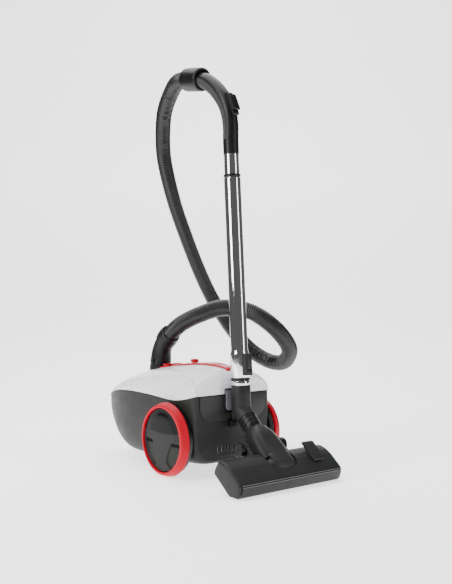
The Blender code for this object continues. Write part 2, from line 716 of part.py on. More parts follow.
def build_handle(root):
    # The handle's spigot drops into the top of the tube, then the grip follows its bent line.
    lean = math.radians(WAND_LEAN)
    start = Vector(HANDLE_PATH[0])
    down = Vector((-math.sin(lean), -math.cos(lean)))
    foot = start + down * 24
    path = [tuple(foot), tuple(start + down * 0.2), tuple(start + down * 0.0), *HANDLE_PATH[1:]]
    radii = [13.8, 13.8, 16.0, (16.2, 16.4), (16.4, 16.8), (16.6, 17.4), (16.8, 17.8), (16.8, 17.8), (16.8, 17.6),
             (16.8, 17.0), (16.6, 16.6)]
    bores = [11.6] * len(path)
    grip = add("handle_grip", swept("handle_grip", path, radii, bores, sides=16), "dark_plastic", root)
    slider_frame = empty("suction_slider_frame", (0, -51.5, 757.0), tilt_x=-26, parent=root)
    join(grip, tool("slider_rail", box("slider_rail", (-8.5, -20.6, -27), (8.5, -14.5, 27), 0.8), slider_frame))
    add("suction_slider", box("suction_slider", (-10, -27, -19), (10, -21.1, 19), 1.8), "black_plastic",
        slider_frame)
    cuff = empty("cuff_axis", (0, *CUFF_AT), tilt_x=-(90 - CUFF_LEAN), parent=root)
    turned("handle_cuff",
           [(23.0, 31), (25.4, 27), (25.8, 0), (25.2, -24), (23.5, -27), (19.8, -27), (19.8, 31)],
           "black_plastic", cuff)


def build_neck(root, neck):
    """The bent socket below the inner tube, and the ribbed swivel collar."""
    wand_line = [(-95.06 - 0.0643 * d, 185.2 - 0.998 * d) for d in (0, 20, 38, 38.4)]
    bend = [(-98.6, 139.5), (-101.2, 132.2), (-106.6, 127.4), (-114.3, 120.2)]
    path = wand_line + bend
    radii = [19.3, 19.4, 19.5, 19.5, 19.5, 19.5, 19.5, 19.5]
    bores = [15.9, 15.9, 15.9, 14.0, 14.0, 14.0, 14.0, 14.0]
    socket = add("neck_socket", swept("neck_socket", path, radii, bores, sides=16), "dark_plastic", root)
    hook = [(-80.1, 104), (-80.1, 131), (-84, 140), (-84, 150), (-77.0, 150), (-77.0, 105), (-78, 104)]
    join(socket, tool("park_hook", prism("park_hook", hook, -9, 9, "X"), root))
    cut(socket, tool("socket_bore", rod("socket_bore", 15.9, -54, 20, "Z", (0, 0), 28), bpy.data.objects["wand"]))

    ribs = []
    for start in (13.6, 4.6, -4.4):
        ribs += [(19.8, start), (19.8, start - 5.6), (18.9, start - 5.7), (18.9, start - 8.9)]
    ribs[-1] = (18.9, -13.8)
    turned("neck_collar", [*ribs, (14.0, -13.8), (14.0, 13.6)], "black_plastic", neck)


# ---------------------------------------------------------------- floor head


def head_section(s, low, high, half, power, points=20):
    """An oval section across the head's frame at distance s along it."""
    middle, tall = (low + high) / 2, (high - low) / 2
    found = []
    for k in range(points):
        angle = 2 * math.pi * k / points
        c, n = math.cos(angle), math.sin(angle)
        found.append((half * math.copysign(abs(c) ** (2 / power), c), s,
                      middle + tall * math.copysign(abs(n) ** (2 / power), n)))
    return found


def build_tongue(head):
    pivot = (0, *TILT_PIVOT)
    sections = [
        head_section(136.3, 6.3, 44.3, 19.0, 2.0), head_section(126, 6.6, 46.2, 25.0, 2.5),
        head_section(112, 7.0, 47.6, 30.5, 3.0), head_section(92, 6.2, 47.0, 33.0, 3.4),
        head_section(70, 5.4, 46.2, 33.8, 3.2), head_section(55, 5.4, 45.6, 33.4, 2.8),
    ]
    # The first section is square to the neck, not to the head.
    lean = math.tan(math.radians(NECK_LEAN - HEAD_LEAN))
    sections[0] = [(x, s - (z - 25.3) * lean, z) for x, s, z in sections[0]]
    tongue = add("neck_tongue", loft("neck_tongue", sections), "dark_plastic", head, pivot=pivot)
    join(tongue, as_tool(turned("tongue_barrel", drum_profile(0.0), "dark_plastic", head, axis="X", at=pivot,
                                sides=24)))


def drum_profile(clearance):
    """Half a section of the drum that the floor head tilts on: it narrows towards its ends."""
    rounds = [(0.0, 34.4), (13.0, 34.4), (17.0, 31.0), (19.8, 26.0), (21.6, 18.0), (22.4, 9.0), (22.6, 0.0)]
    grown = [(r + clearance * (r > 0), x + clearance * (x > 0)) for r, x in rounds]
    return grown + [(r, -x) for r, x in reversed(grown[:-1])]


def nozzle_profile(inset=0.0):
    """The nozzle housing's side profile: distance along the sole and height above it."""
    outer = [
        (9.5, 0.0), (-8.5, 14.2), (-8.8, 17.0), (-8.2, 24.0), (-4.0, 34.0), (-1.5, 38.0), (2.0, 39.8),
        (20.0, 40.4), (40.0, 40.4), (52.0, 38.8), (63.0, 35.2), (71.0, 31.0), (72.5, 28.0), (71.0, 9.0), (67.0, 0.0),
    ]
    if not inset:
        return outer
    centre = Vector((32.0, 18.0))
    found = []
    for s, n in outer:
        away = Vector((s, n)) - centre
        found.append((s - inset * away.x / 40, n - inset * away.y / 20))
    return found


def build_nozzle(head):
    pivot = (0, *TILT_PIVOT)
    ends = [(HEAD_HALF, 5.5), (HEAD_HALF - 1.6, 2.6), (HEAD_HALF - 5.0, 0.8), (HEAD_HALF - 11.0, 0.0)]
    places = [(-x, inset) for x, inset in ends] + [(x, inset) for x, inset in reversed(ends)]
    rings = []
    for x, inset in places:
        rings.append([(x, s, max(n, 0.0)) for s, n in nozzle_profile(inset)])
    housing = add("nozzle_housing", loft("nozzle_housing", rings), "dark_plastic", head, pivot=pivot)

    inside = [(12.4, -4), (12.4, 1.0), (-5.4, 16.0), (-5.0, 23.2), (-1.2, 33.0), (2.4, 36.8), (20, 37.6),
              (40, 37.6), (51.6, 36.2), (62, 32.8), (68.6, 29.0), (69.6, 27.0), (68.4, 9.4), (64.4, 1.0), (64.4, -4)]
    hollow = tool("nozzle_hollow", prism("nozzle_hollow", inside, -(HEAD_HALF - 5.6), HEAD_HALF - 5.6, "X"), head)
    recess = as_tool(turned("barrel_recess", drum_profile(1.0), "dark_plastic", head, axis="X", at=pivot, sides=24))
    slot = tool("tongue_slot", box("tongue_slot", (-35.6, 38.5, -5), (35.6, 90, 60)), head)
    cut(housing, hollow, recess, slot)
    arm = [(66, 4), (104, 3), (109, 8), (109, 18), (104, 23), (88, 27), (66, 28.5)]
    for side, sign in (("left", -1), ("right", 1)):
        low, high = sorted((sign * 41.5, sign * 47.5))
        join(housing, tool(f"arm_{side}", prism(f"arm_{side}", arm, low, high, "X"), head))
        low, high = sorted((sign * 44, sign * 60.5))
        join(housing, tool(f"stub_{side}", rod(f"stub_{side}", 3.0, low, high, "X", (100, 13.6), 20), head))

    sole = add("sole_plate", box("sole_plate", (-127.6, 12.9, 0.2), (127.6, 63.9, 2.8)), "black_plastic", head)
    cut(
        sole,
        tool("suction_slot", box("suction_slot", (-112, 21, -5), (112, 33, 10)), head),
        tool("mouth", box("mouth", (-28, 24, -5), (28, 54, 10)), head),
        tool("brush_slot", box("brush_slot", (-111.4, 14.9, -5), (111.4, 19.1, 10)), head),
    )
    add("brush_strip", box("brush_strip", (-110.6, 15.5, 1.0), (110.6, 18.5, 11.0)), "bristle", head)

    guard = [(-9.8, 22.0), (-5.4, 34.6), (-2.4, 39.4), (-3.4, 40.2), (-7.0, 35.4), (-11.4, 22.4)]
    add("bumper", prism("bumper", guard, -(HEAD_HALF - 6), HEAD_HALF - 6, "X"), "grey_plastic", head)

    for side, sign in (("left", -1), ("right", 1)):
        low = 48.2 if sign > 0 else -60.2
        wheel = [(12.6, low + 12), (14.0, low + 10.6), (14.0, low + 1.4), (12.6, low), (3.5, low), (3.5, low + 12)]
        turned(f"head_wheel_{side}", wheel, "black_plastic", head, axis="X", at=(0, 100, 13.6))

    rocker = [(24, 43.4), (25.5, 46), (40, 47.8), (68, 49.0), (72, 47.6), (71, 43.6), (47, 41.4)]
    pedal = add("pedal", prism("pedal", rocker, 71, 99, "X"), "dark_plastic", head, pivot=(85, 47, 43.5))
    bevel(pedal, 0.9)


# ---------------------------------------------------------------- assembly


def main():
    clear_scene()
    Build.parts = new_collection(NAME)
    Build.cutters = new_collection(f"{NAME}_cutters")
    root = empty("assembly", (0, ASSEMBLY_Y, 0))
    wand = empty("wand", WAND_FOOT, tilt_x=-WAND_LEAN, parent=root)
    neck = empty("neck", NECK_AT, tilt_x=-NECK_LEAN, parent=root)
    head = empty("head", HEAD_AT, tilt_x=HEAD_LEAN, parent=root)
    build_body(root)
    build_lid(root)
    build_strips(root)
    build_latch(root)
    build_exhaust(root)
    build_park_bracket(root)
    build_bag_bay(root)
    build_motor(root)
    build_wheels(root)
    build_caster(root)
    build_elbow(root)
    build_hose(root)
    build_wand(wand)
    build_handle(root)
    build_neck(root, neck)
    build_tongue(head)
    build_nozzle(head)
    bpy.context.view_layer.update()


main()
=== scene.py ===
"""Looks for a canister vacuum cleaner parked upright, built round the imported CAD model.

Lengths are millimetres in the assembly's own frames; place() turns them into metres in the row frame.
"""

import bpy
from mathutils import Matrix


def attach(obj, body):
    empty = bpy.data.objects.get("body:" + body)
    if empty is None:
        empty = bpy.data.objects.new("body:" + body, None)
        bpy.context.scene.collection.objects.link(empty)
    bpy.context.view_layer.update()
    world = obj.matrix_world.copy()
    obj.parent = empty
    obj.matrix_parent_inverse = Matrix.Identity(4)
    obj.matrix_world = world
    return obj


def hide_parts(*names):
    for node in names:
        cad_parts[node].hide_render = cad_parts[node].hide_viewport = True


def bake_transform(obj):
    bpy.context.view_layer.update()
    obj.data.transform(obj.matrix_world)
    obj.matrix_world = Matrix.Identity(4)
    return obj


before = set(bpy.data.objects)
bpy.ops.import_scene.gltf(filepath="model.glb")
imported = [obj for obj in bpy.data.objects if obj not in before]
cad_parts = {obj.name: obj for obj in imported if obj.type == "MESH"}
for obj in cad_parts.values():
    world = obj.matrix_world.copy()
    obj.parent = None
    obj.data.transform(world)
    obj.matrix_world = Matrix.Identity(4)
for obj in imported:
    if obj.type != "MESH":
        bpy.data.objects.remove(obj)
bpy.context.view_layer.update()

import math

import bmesh
import bpy
from mathutils import Matrix, Vector

MM = 0.001
ASSEMBLY_Y = -41.157


def tilted(at, tilt_x):
    """The frame of a group of pieces: where its origin is, and how far it leans about X."""
    x, y, z = at
    move = Matrix.Translation(Vector((x, y + ASSEMBLY_Y, z)) * MM)
    return move @ Matrix.Rotation(math.radians(tilt_x), 4, "X")


BASE = tilted((0, 0, 0), 0)
WAND = tilted((0, -95, 186), -3.68)
NECK = tilted((0, -124.5, 110), -45)
HEAD = tilted((0, -226, -5), 38.5)
SLIDER = tilted((0, -51.5, 757), -26)
CUFF = tilted((0, 58, 838.6), -80)

# ---------------------------------------------------------------- camera

CAMERA_AT = (-1.10, -1.437157, 0.3756)
CAMERA_TURN = -39.2
CAMERA_LENS = 51.5


def make_camera():
    data = bpy.data.cameras.new("camera")
    data.lens = CAMERA_LENS
    data.sensor_width = 36
    data.clip_start, data.clip_end = 0.05, 60
    camera = bpy.data.objects.new("camera", data)
    camera.location = CAMERA_AT
    camera.rotation_euler = (math.radians(90), 0, math.radians(CAMERA_TURN))
    bpy.context.scene.collection.objects.link(camera)
    bpy.context.scene.camera = camera


# ---------------------------------------------------------------- materials


class Nodes:
    """A material's node tree, with short ways to add and link nodes."""

    def __init__(self, name):
        self.material = bpy.data.materials.new(name)
        self.material.use_nodes = True
        self.tree = self.material.node_tree
        self.shader = self.tree.nodes["Principled BSDF"]
        self.where = self.tree.nodes.new("ShaderNodeTexCoord").outputs["Object"]

    def node(self, kind, **inputs):
        made = self.tree.nodes.new("ShaderNode" + kind)
        for key, value in inputs.items():
            socket = made.inputs[key.replace("_", " ")]
            if hasattr(value, "links"):
                self.tree.links.new(value, socket)
            else:
                socket.default_value = value
        return made

    def stretched(self, scale):
        made = self.node("Mapping", Vector=self.where)
        made.inputs["Scale"].default_value = scale
        return made.outputs["Vector"]

    def noise(self, scale, detail=2.0, roughness=0.5, vector=None):
        made = self.node("TexNoise", Vector=vector or self.where, Scale=scale, Detail=detail,
                         Roughness=roughness)
        return made.outputs["Fac"]

    def ranged(self, value, low, high, from_low=0.3, from_high=0.7):
        made = self.node("MapRange", Value=value)
        for key, number in (("From Min", from_low), ("From Max", from_high), ("To Min", low),
                            ("To Max", high)):
            made.inputs[key].default_value = number
        return made.outputs["Result"]

    def mixed(self, factor, one, two):
        made = self.tree.nodes.new("ShaderNodeMix")
        made.data_type = "RGBA"
        self.tree.links.new(factor, made.inputs["Factor"])
        made.inputs[6].default_value = (*one, 1)
        made.inputs[7].default_value = (*two, 1)
        return made.outputs[2]

    def link(self, value, socket):
        self.tree.links.new(value, self.shader.inputs[socket])

    def bump(self, height, distance, strength=0.5, under=None):
        made = self.node("Bump", Height=height, Distance=distance, Strength=strength)
        if under is not None:
            self.tree.links.new(under, made.inputs["Normal"])
        return made.outputs["Normal"]


def plastic(name, colour, rough, grain=0.00012, grain_scale=1600.0, strength=0.25, shift=0.1, rub=0.05,
            shine=0.28):
    """Moulded plastic: a fine grain, softly uneven gloss, and a faint change of tone over its surface."""
    n = Nodes(name)
    tone = n.noise(14.0, 3.0)
    light = tuple(min(c * (1 + shift), 1.0) for c in colour)
    dark = tuple(c * (1 - shift) for c in colour)
    n.link(n.mixed(n.ranged(tone, 0.0, 1.0), dark, light), "Base Color")
    handled = n.noise(48.0, 4.0, 0.6)
    n.link(n.ranged(handled, max(rough - rub, 0.02), rough + rub), "Roughness")
    fine = n.bump(n.noise(grain_scale, 1.0), grain, strength)
    n.link(n.bump(n.noise(60.0, 1.0), 0.0003, 0.05, fine), "Normal")
    n.shader.inputs["Specular IOR Level"].default_value = shine
    return n.material


def gloss(name, colour, rough=0.12, shift=0.03, coat=0.5, ripple=0.04, shine=0.4):
    """Polished moulding: an even colour, slight long ripples in the gloss and a scatter of fine dust."""
    n = Nodes(name)
    light = tuple(min(c * (1 + shift), 1.0) for c in colour)
    n.link(n.mixed(n.ranged(n.noise(9.0, 2.0), 0.0, 1.0), colour, light), "Base Color")
    smear = n.noise(35.0, 5.0, 0.65)
    n.link(n.ranged(smear, rough, rough + 0.1, 0.4, 0.75), "Roughness")
    dust = n.bump(n.noise(900.0, 1.0), 0.00003, 0.1)
    n.link(n.bump(n.noise(30.0, 1.0), 0.001, ripple, dust), "Normal")
    n.shader.inputs["Specular IOR Level"].default_value = shine
    n.shader.inputs["Coat Weight"].default_value = coat
    n.shader.inputs["Coat Roughness"].default_value = 0.05
    return n.material


def chromed(name, colour=(0.83, 0.83, 0.85), rough=0.05):
    """Polished chrome on drawn tube: faint draw lines along the tube and a few cloudy fingerprints."""
    n = Nodes(name)
    n.shader.inputs["Metallic"].default_value = 1.0
    n.link(n.mixed(n.ranged(n.noise(6.0, 2.0), 0.0, 1.0), colour, tuple(c * 0.94 for c in colour)),
           "Base Color")
    prints = n.noise(40.0, 5.0, 0.7)
    n.link(n.ranged(prints, rough, rough + 0.09, 0.52, 0.8), "Roughness")
    lines = n.noise(1.0, 2.0, vector=n.stretched((1400, 1400, 18)))
    n.link(n.bump(lines, 0.00002, 0.12), "Normal")
    return n.material


def felt(name, colour, scale=700.0):
    """Soft fleece or felt: matted fibres and a mottled tone."""
    n = Nodes(name)
    n.link(n.mixed(n.ranged(n.noise(120.0, 5.0, 0.7), 0.0, 1.0), tuple(c * 0.82 for c in colour), colour),
           "Base Color")
    n.link(n.ranged(n.noise(60.0), 0.88, 0.98), "Roughness")
    n.link(n.bump(n.noise(scale, 5.0, 0.75), 0.0008, 0.8), "Normal")
    n.shader.inputs["Sheen Weight"].default_value = 0.3
    return n.material


def metal(name, colour, rough):
    """Turned steel: fine tool marks round the piece."""
    n = Nodes(name)
    n.shader.inputs["Metallic"].default_value = 1.0
    n.link(n.mixed(n.ranged(n.noise(80.0, 3.0), 0.0, 1.0), colour, tuple(c * 0.8 for c in colour)),
           "Base Color")
    n.link(n.ranged(n.noise(200.0, 3.0), rough - 0.08, rough + 0.08), "Roughness")
    n.link(n.bump(n.noise(1.0, 1.0, vector=n.stretched((2600, 90, 90))), 0.00005, 0.3), "Normal")
    return n.material


DARK = plastic("dark_moulding", (0.017, 0.0185, 0.017), 0.46, shine=0.2)
DARK_PANEL = plastic("dark_panel", (0.021, 0.0225, 0.021), 0.38, strength=0.15, shine=0.22)
CAP_GREY = plastic("cap_grey", (0.017, 0.0185, 0.017), 0.42, strength=0.15, shine=0.1)
# Painted shade: a darker grey laid on the upper parts of the cap's scoops where shadow falls.
SCOOP_SHADE = plastic("cap_scoop_painted_shade", (0.006, 0.0065, 0.006), 0.5, shine=0.05)
GRIP_SIDE = plastic("grip_side", (0.042, 0.044, 0.042), 0.48, shine=0.2)
BLACK = plastic("black_moulding", (0.006, 0.006, 0.0065), 0.36, shine=0.25)
SATIN = plastic("satin_black", (0.004, 0.004, 0.0045), 0.32, strength=0.15, shine=0.25)
PIANO = gloss("piano_black", (0.0012, 0.0012, 0.0014), 0.06, coat=0.0, shine=0.07)
WHITE = gloss("white_shell", (0.93, 0.92, 0.96), 0.24, 0.0, 0.2)
RED = gloss("red_trim", (0.50, 0.001, 0.014), 0.22, 0.06, 0.05, shine=0.25)
TYRE = plastic("red_tyre", (0.47, 0.001, 0.016), 0.42, 0.00006, 900.0, 0.2, 0.05, shine=0.12)
LATCH = plastic("latch_grey", (0.15, 0.14, 0.165), 0.4, strength=0.15, shift=0.06)
CHROME = chromed("chrome")
STEEL = metal("steel", (0.5, 0.5, 0.5), 0.35)
HOSE = plastic("hose_black", (0.006, 0.006, 0.0065), 0.34, 0.00002, 1200.0, 0.08, 0.06, 0.03, 0.4)
GREY = plastic("grey_moulding", (0.3, 0.31, 0.32), 0.5)
RIDGE = plastic("ridge_grey", (0.10, 0.105, 0.105), 0.4)
FLEECE = felt("bag_fleece", (0.7, 0.66, 0.56))
FELT = felt("filter_felt", (0.8, 0.82, 0.84))
BRISTLE = felt("bristles", (0.02, 0.02, 0.02), 2600.0)

# ---------------------------------------------------------------- mesh helpers


def new_object(name, mesh):
    made = bpy.data.objects.new(name, mesh)
    bpy.context.scene.collection.objects.link(made)
    return made


def mesh_of(bm, name="work"):
    bmesh.ops.recalc_face_normals(bm, faces=bm.faces[:])
    made = bpy.data.meshes.new(name)
    bm.to_mesh(made)
    bm.free()
    return made


def applied(mesh, *steps):
    """The mesh after modifiers: ("SOLIDIFY", mm), ("BEVEL", mm), ("SUBSURF", n), or (operation, mesh)."""
    work = new_object("work", mesh)
    tools = []
    for kind, value in steps:
        if kind in ("SOLIDIFY", "BEVEL", "SUBSURF"):
            step = work.modifiers.new(kind, kind)
            if kind == "SOLIDIFY":
                step.thickness, step.offset, step.use_even_offset = value, -1.0, True
            elif kind == "BEVEL":
                step.width, step.segments, step.limit_method = value, 3, "ANGLE"
                step.angle_limit = math.radians(32)
                step.harden_normals = False
            else:
                step.levels = step.render_levels = value
            continue
        step = work.modifiers.new("cut", "BOOLEAN")
        step.operation, step.solver, step.object = kind, "EXACT", new_object("tool", value)
        tools.append(step.object)
    bpy.context.view_layer.update()
    ready = work.evaluated_get(bpy.context.evaluated_depsgraph_get())
    made = bpy.data.meshes.new_from_object(ready)
    for item in (work, *tools):
        bpy.data.objects.remove(item, do_unlink=True)
    return made


def place(name, mesh, where, looks, body, nodes=(), sharp=33, choose=None):
    """Puts a mesh given in millimetres into the row frame as a finished piece."""
    mesh.transform(where @ Matrix.Scale(MM, 4))
    made = new_object(name, mesh)
    mesh.materials.clear()
    looks = looks if isinstance(looks, (list, tuple)) else [looks]
    for look in looks:
        mesh.materials.append(look)
    mesh.shade_smooth()
    mesh.set_sharp_from_angle(angle=math.radians(sharp))
    if choose is not None:
        back = (where @ Matrix.Scale(MM, 4)).inverted()
        for face in mesh.polygons:
            face.material_index = choose(back @ face.center)
    else:
        for face in mesh.polygons:
            face.material_index = 0
    if body is not None:
        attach(made, body)
    if nodes:
        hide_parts(*nodes)
    return made


def rounded(points, radius, steps=4, closed=True):
    """A section outline with its corners rounded."""
    found, count = [], len(points)
    for i, point in enumerate(points):
        here = Vector(point)
        if not closed and i in (0, count - 1):
            found.append(tuple(here))
            continue
        before, after = Vector(points[i - 1]) - here, Vector(points[(i + 1) % count]) - here
        reach = min(radius, before.length * 0.48, after.length * 0.48)
        if reach < 0.02 or before.angle(-after, 0.0) < 0.06:
            found.append(tuple(here))
            continue
        one, two = here + before.normalized() * reach, here + after.normalized() * reach
        for k in range(steps + 1):
            t = k / steps
            found.append(tuple(one * (1 - t) ** 2 + here * 2 * t * (1 - t) + two * t**2))
    return found


TURNS = {
    "X": Matrix.Rotation(math.radians(90), 4, "Y"),
    "Y": Matrix.Rotation(math.radians(-90), 4, "X"),
    "Z": Matrix.Identity(4),
}


def lathe(profile, axis="Z", at=(0, 0, 0), sides=96, soft=0.6, flip=False):
    """A turned piece: the profile lists (radius, height), closed unless both its ends are on the axis."""
    on_axis = profile[0][0] == 0 and profile[-1][0] == 0
    outline = rounded(profile, soft, 4, not on_axis)
    bm = bmesh.new()
    rings = []
    for radius, height in outline:
        if radius < 1e-6:
            rings.append([bm.verts.new((0, 0, height))])
            continue
        rings.append([
            bm.verts.new((radius * math.cos(2 * math.pi * k / sides),
                          radius * math.sin(2 * math.pi * k / sides), height))
            for k in range(sides)
        ])
    pairs = list(zip(rings, rings[1:]))
    if not on_axis:
        pairs.append((rings[-1], rings[0]))
    for one, two in pairs:
        for k in range(sides):
            j = (k + 1) % sides
            corners = [one[k % len(one)], one[j % len(one)], two[j % len(two)], two[k % len(two)]]
            bm.faces.new(list(dict.fromkeys(corners)))
    mesh = mesh_of(bm)
    turn = TURNS[axis]
    if flip:
        turn = Matrix.Rotation(math.pi, 4, "Z") @ turn
    mesh.transform(Matrix.Translation(Vector(at)) @ turn)
    return mesh


def loft(rings, ring_closed=True, path_closed=False, cap=True):
    bm = bmesh.new()
    rows = [[bm.verts.new(p) for p in ring] for ring in rings]
    count = len(rows[0])
    pairs = list(zip(rows, rows[1:]))
    if path_closed:
        pairs.append((rows[-1], rows[0]))
    for one, two in pairs:
        for i in range(count if ring_closed else count - 1):
            j = (i + 1) % count
            bm.faces.new((one[i], one[j], two[j], two[i]))
    if cap and not path_closed:
        bm.faces.new(rows[0][::-1])
        bm.faces.new(rows[-1])
    return mesh_of(bm)


def prism(outline, low, high, axis="Z"):
    """An outline pushed along an axis: (x, y) for Z, (y, z) for X, (x, z) for Y."""
    order = {"Z": lambda a, b, h: (a, b, h), "X": lambda a, b, h: (h, a, b),
             "Y": lambda a, b, h: (a, h, b)}[axis]
    return loft([[order(a, b, height) for a, b in outline] for height in (low, high)])


def block(low, high, soft=1.0):
    bm = bmesh.new()
    size = Matrix.Diagonal([h - l for l, h in zip(low, high)]).to_4x4()
    middle = Matrix.Translation([(l + h) / 2 for l, h in zip(low, high)])
    bmesh.ops.create_cube(bm, size=1.0, matrix=middle @ size)
    return applied(mesh_of(bm), ("BEVEL", soft)) if soft else mesh_of(bm)


def cylinder(radius, low, high, axis="Z", at=(0, 0, 0), sides=64, soft=0.0):
    return lathe([(0, high), (radius, high), (radius, low), (0, low)], axis, at, sides, soft)


def merged(*meshes):
    """Several meshes as one."""
    bm = bmesh.new()
    for mesh in meshes:
        bm.from_mesh(mesh)
    return mesh_of(bm)


def smooth_line(points, steps):
    """A Catmull-Rom curve through the points, sampled evenly along its length."""
    knots = [Vector(p) for p in points]
    knots = [2 * knots[0] - knots[1], *knots, 2 * knots[-1] - knots[-2]]
    fine = []
    for a, b, c, d in zip(knots, knots[1:], knots[2:], knots[3:]):
        for k in range(24):
            t = k / 24
            fine.append(
                0.5 * (2 * b + (c - a) * t + (2 * a - 5 * b + 4 * c - d) * t**2
                       + (3 * b - a - 3 * c + d) * t**3)
            )
    fine.append(knots[-2])
    along = [0.0]
    for one, two in zip(fine, fine[1:]):
        along.append(along[-1] + (two - one).length)
    found, k = [], 0
    for i in range(steps + 1):
        want = along[-1] * i / steps
        while k < len(along) - 2 and along[k + 1] < want:
            k += 1
        share = (want - along[k]) / max(along[k + 1] - along[k], 1e-9)
        found.append(fine[k].lerp(fine[k + 1], min(share, 1.0)))
    return found


def curve_value(table, at, column):
    """A value from a table of rows sorted by their first number, on a smooth curve between the rows."""
    xs = [row[0] for row in table]
    ys = [row[column] for row in table]
    at = min(max(at, xs[0]), xs[-1])
    k = max(i for i in range(len(xs) - 1) if xs[i] <= at)
    slopes = []
    for i in (k, k + 1):
        if i in (0, len(xs) - 1):
            j = min(i, len(xs) - 2)
            slopes.append((ys[j + 1] - ys[j]) / (xs[j + 1] - xs[j]))
        else:
            slopes.append((ys[i + 1] - ys[i - 1]) / (xs[i + 1] - xs[i - 1]))
    span = xs[k + 1] - xs[k]
    t = (at - xs[k]) / span
    return (
        (2 * t**3 - 3 * t**2 + 1) * ys[k]
        + (t**3 - 2 * t**2 + t) * span * slopes[0]
        + (3 * t**2 - 2 * t**3) * ys[k + 1]
        + (t**3 - t**2) * span * slopes[1]
    )


def step_between(value, low, high):
    t = min(max((value - low) / (high - low), 0.0), 1.0)
    return t * t * (3 - 2 * t)


def sweep(path, radii, bores=None, sides=64, steps=0):
    """A tube along a path in the plane X = 0. A refined sweep follows a smooth curve through its points."""
    rows = [(Vector(p), r if isinstance(r, tuple) else (r, r)) for p, r in zip(path, radii)]
    holes = list(bores) if bores else [None] * len(rows)
    if steps:
        table = [(i, *p, *r, h or 0) for i, ((p, r), h) in enumerate(zip(rows, holes))]
        places = [i * (len(rows) - 1) / steps for i in range(steps + 1)]
        rows = [(Vector((curve_value(table, t, 1), curve_value(table, t, 2))),
                 (curve_value(table, t, 3), curve_value(table, t, 4))) for t in places]
        holes = [curve_value(table, t, 5) for t in places]

    def ring(i, size):
        before, after = rows[max(i - 1, 0)][0], rows[min(i + 1, len(rows) - 1)][0]
        run = (after - before).normalized()
        side = Vector((-run.y, run.x))
        wide, deep = size
        found = []
        for k in range(sides):
            angle = 2 * math.pi * k / sides
            y, z = rows[i][0] + side * deep * math.sin(angle)
            found.append((wide * math.cos(angle), y, z))
        return found

    outer = [ring(i, rows[i][1]) for i in range(len(rows))]
    if bores is None:
        return loft(outer)
    inner = [ring(i, (holes[i], holes[i])) for i in reversed(range(len(rows)))]
    return loft(outer + inner, path_closed=True)


# ---------------------------------------------------------------- hose

HOSE_R = 18.6
HOSE_ROUTE = (
    (0, 153, 280), (1, 134, 293), (6, 112, 307), (20, 68, 326), (44, 20, 341), (81, -23, 335),
    (120, -44, 310),
    (165, -44, 276), (208, -20, 242), (255, 52, 210), (273, 125, 208), (275, 194, 232), (263, 252, 281),
    (238, 297, 355), (213, 321, 427), (185, 338, 510), (151, 344, 598), (114, 331, 683), (86, 305, 739),
    (51, 250, 800), (26, 188, 835), (5, 130, 848), (0, 86, 844),
)
HOSE_MARKS = (0, 0.19, 0.53, 1)


def make_hose():
    """The corrugated hose in three stretches, one for each joint that it crosses."""
    ribs_total = 376
    line = smooth_line(HOSE_ROUTE, ribs_total * 4)
    normal = Vector((1, 0, 0))
    frames = []
    for i, point in enumerate(line):
        run = (line[min(i + 1, len(line) - 1)] - line[max(i - 1, 0)]).normalized()
        normal = (normal - run * normal.dot(run)).normalized()
        frames.append((point, normal.copy(), run.cross(normal)))
    heights = (HOSE_R - 0.1, HOSE_R - 0.1, HOSE_R - 1.7, HOSE_R - 1.7)
    sides = 32
    bodies = (("hose_first", "hose_lower", "elbow", "canister"), ("hose_second", "hose_middle", "canister",
              "wand_lower"), ("hose_third", "hose_upper", "wand_lower", "wand_upper"))
    for (name, node, one, two), low, high in zip(bodies, HOSE_MARKS, HOSE_MARKS[1:]):
        first, last = round(low * (len(line) - 1) / 4) * 4, round(high * (len(line) - 1) / 4) * 4
        rings = []
        for i in range(first, last + 1):
            point, side, up = frames[i]
            size = heights[i % 4]
            rings.append([
                point + side * size * math.cos(2 * math.pi * k / sides)
                + up * size * math.sin(2 * math.pi * k / sides)
                for k in range(sides)
            ])
        made = place(name, loft(rings), BASE, HOSE, None, (), sharp=60)
        path = [BASE @ (line[i] * MM) for i in range(first, last + 1, 8)]
        path[-1] = BASE @ (line[last] * MM)
        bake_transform(made)
        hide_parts(node)


# ---------------------------------------------------------------- canister

# Sections along Y: half width, height of the underside, height of the top, and how square the lower half is.
BODY = (
    (-70.0, 96.0, 33.0, 201.0, 6.0), (-66.0, 101.0, 28.5, 209.0, 6.5), (-52.0, 103.0, 25.5, 217.0, 7.0),
    (0.0, 103.5, 23.0, 222.0, 7.0), (60.0, 104.5, 22.5, 218.5, 7.0), (120.0, 106.5, 22.5, 211.0, 7.0),
    (180.0, 105.0, 24.0, 199.0, 6.8), (230.0, 97.0, 34.0, 180.5, 5.0), (270.0, 84.0, 52.0, 157.5, 3.6),
    (300.0, 67.0, 72.0, 140.0, 3.0), (320.0, 48.0, 90.0, 126.5, 2.7), (331.0, 32.0, 102.0, 119.0, 2.5),
    (336.0, 19.0, 107.5, 116.0, 2.5),
)
PARTING = (
    (-70.0, 166.5), (-40.0, 159.0), (0.0, 154.0), (50.0, 156.5), (96.0, 159.5), (165.0, 160.0),
    (220.0, 155.0), (270.0, 143.5), (300.0, 131.5), (320.0, 120.5), (336.0, 112.5),
)
SEAM = 0.5
LID_GAP = 0.6
NOSE_GAP = 0.5
WALL = 2.5
FLAT_Z = 24.5


def body_at(y):
    return tuple(curve_value(BODY, y, column) for column in (1, 2, 3))


def stations(pitch):
    """Places along Y for fine sections, closer together where the ends round over."""
    found, y = [], -70.0
    while y < 335.6:
        found.append(y)
        near = min(y + 70.0, 336.0 - y)
        y += min(pitch, 0.5 + near * 0.12)
    return found + [336.0]


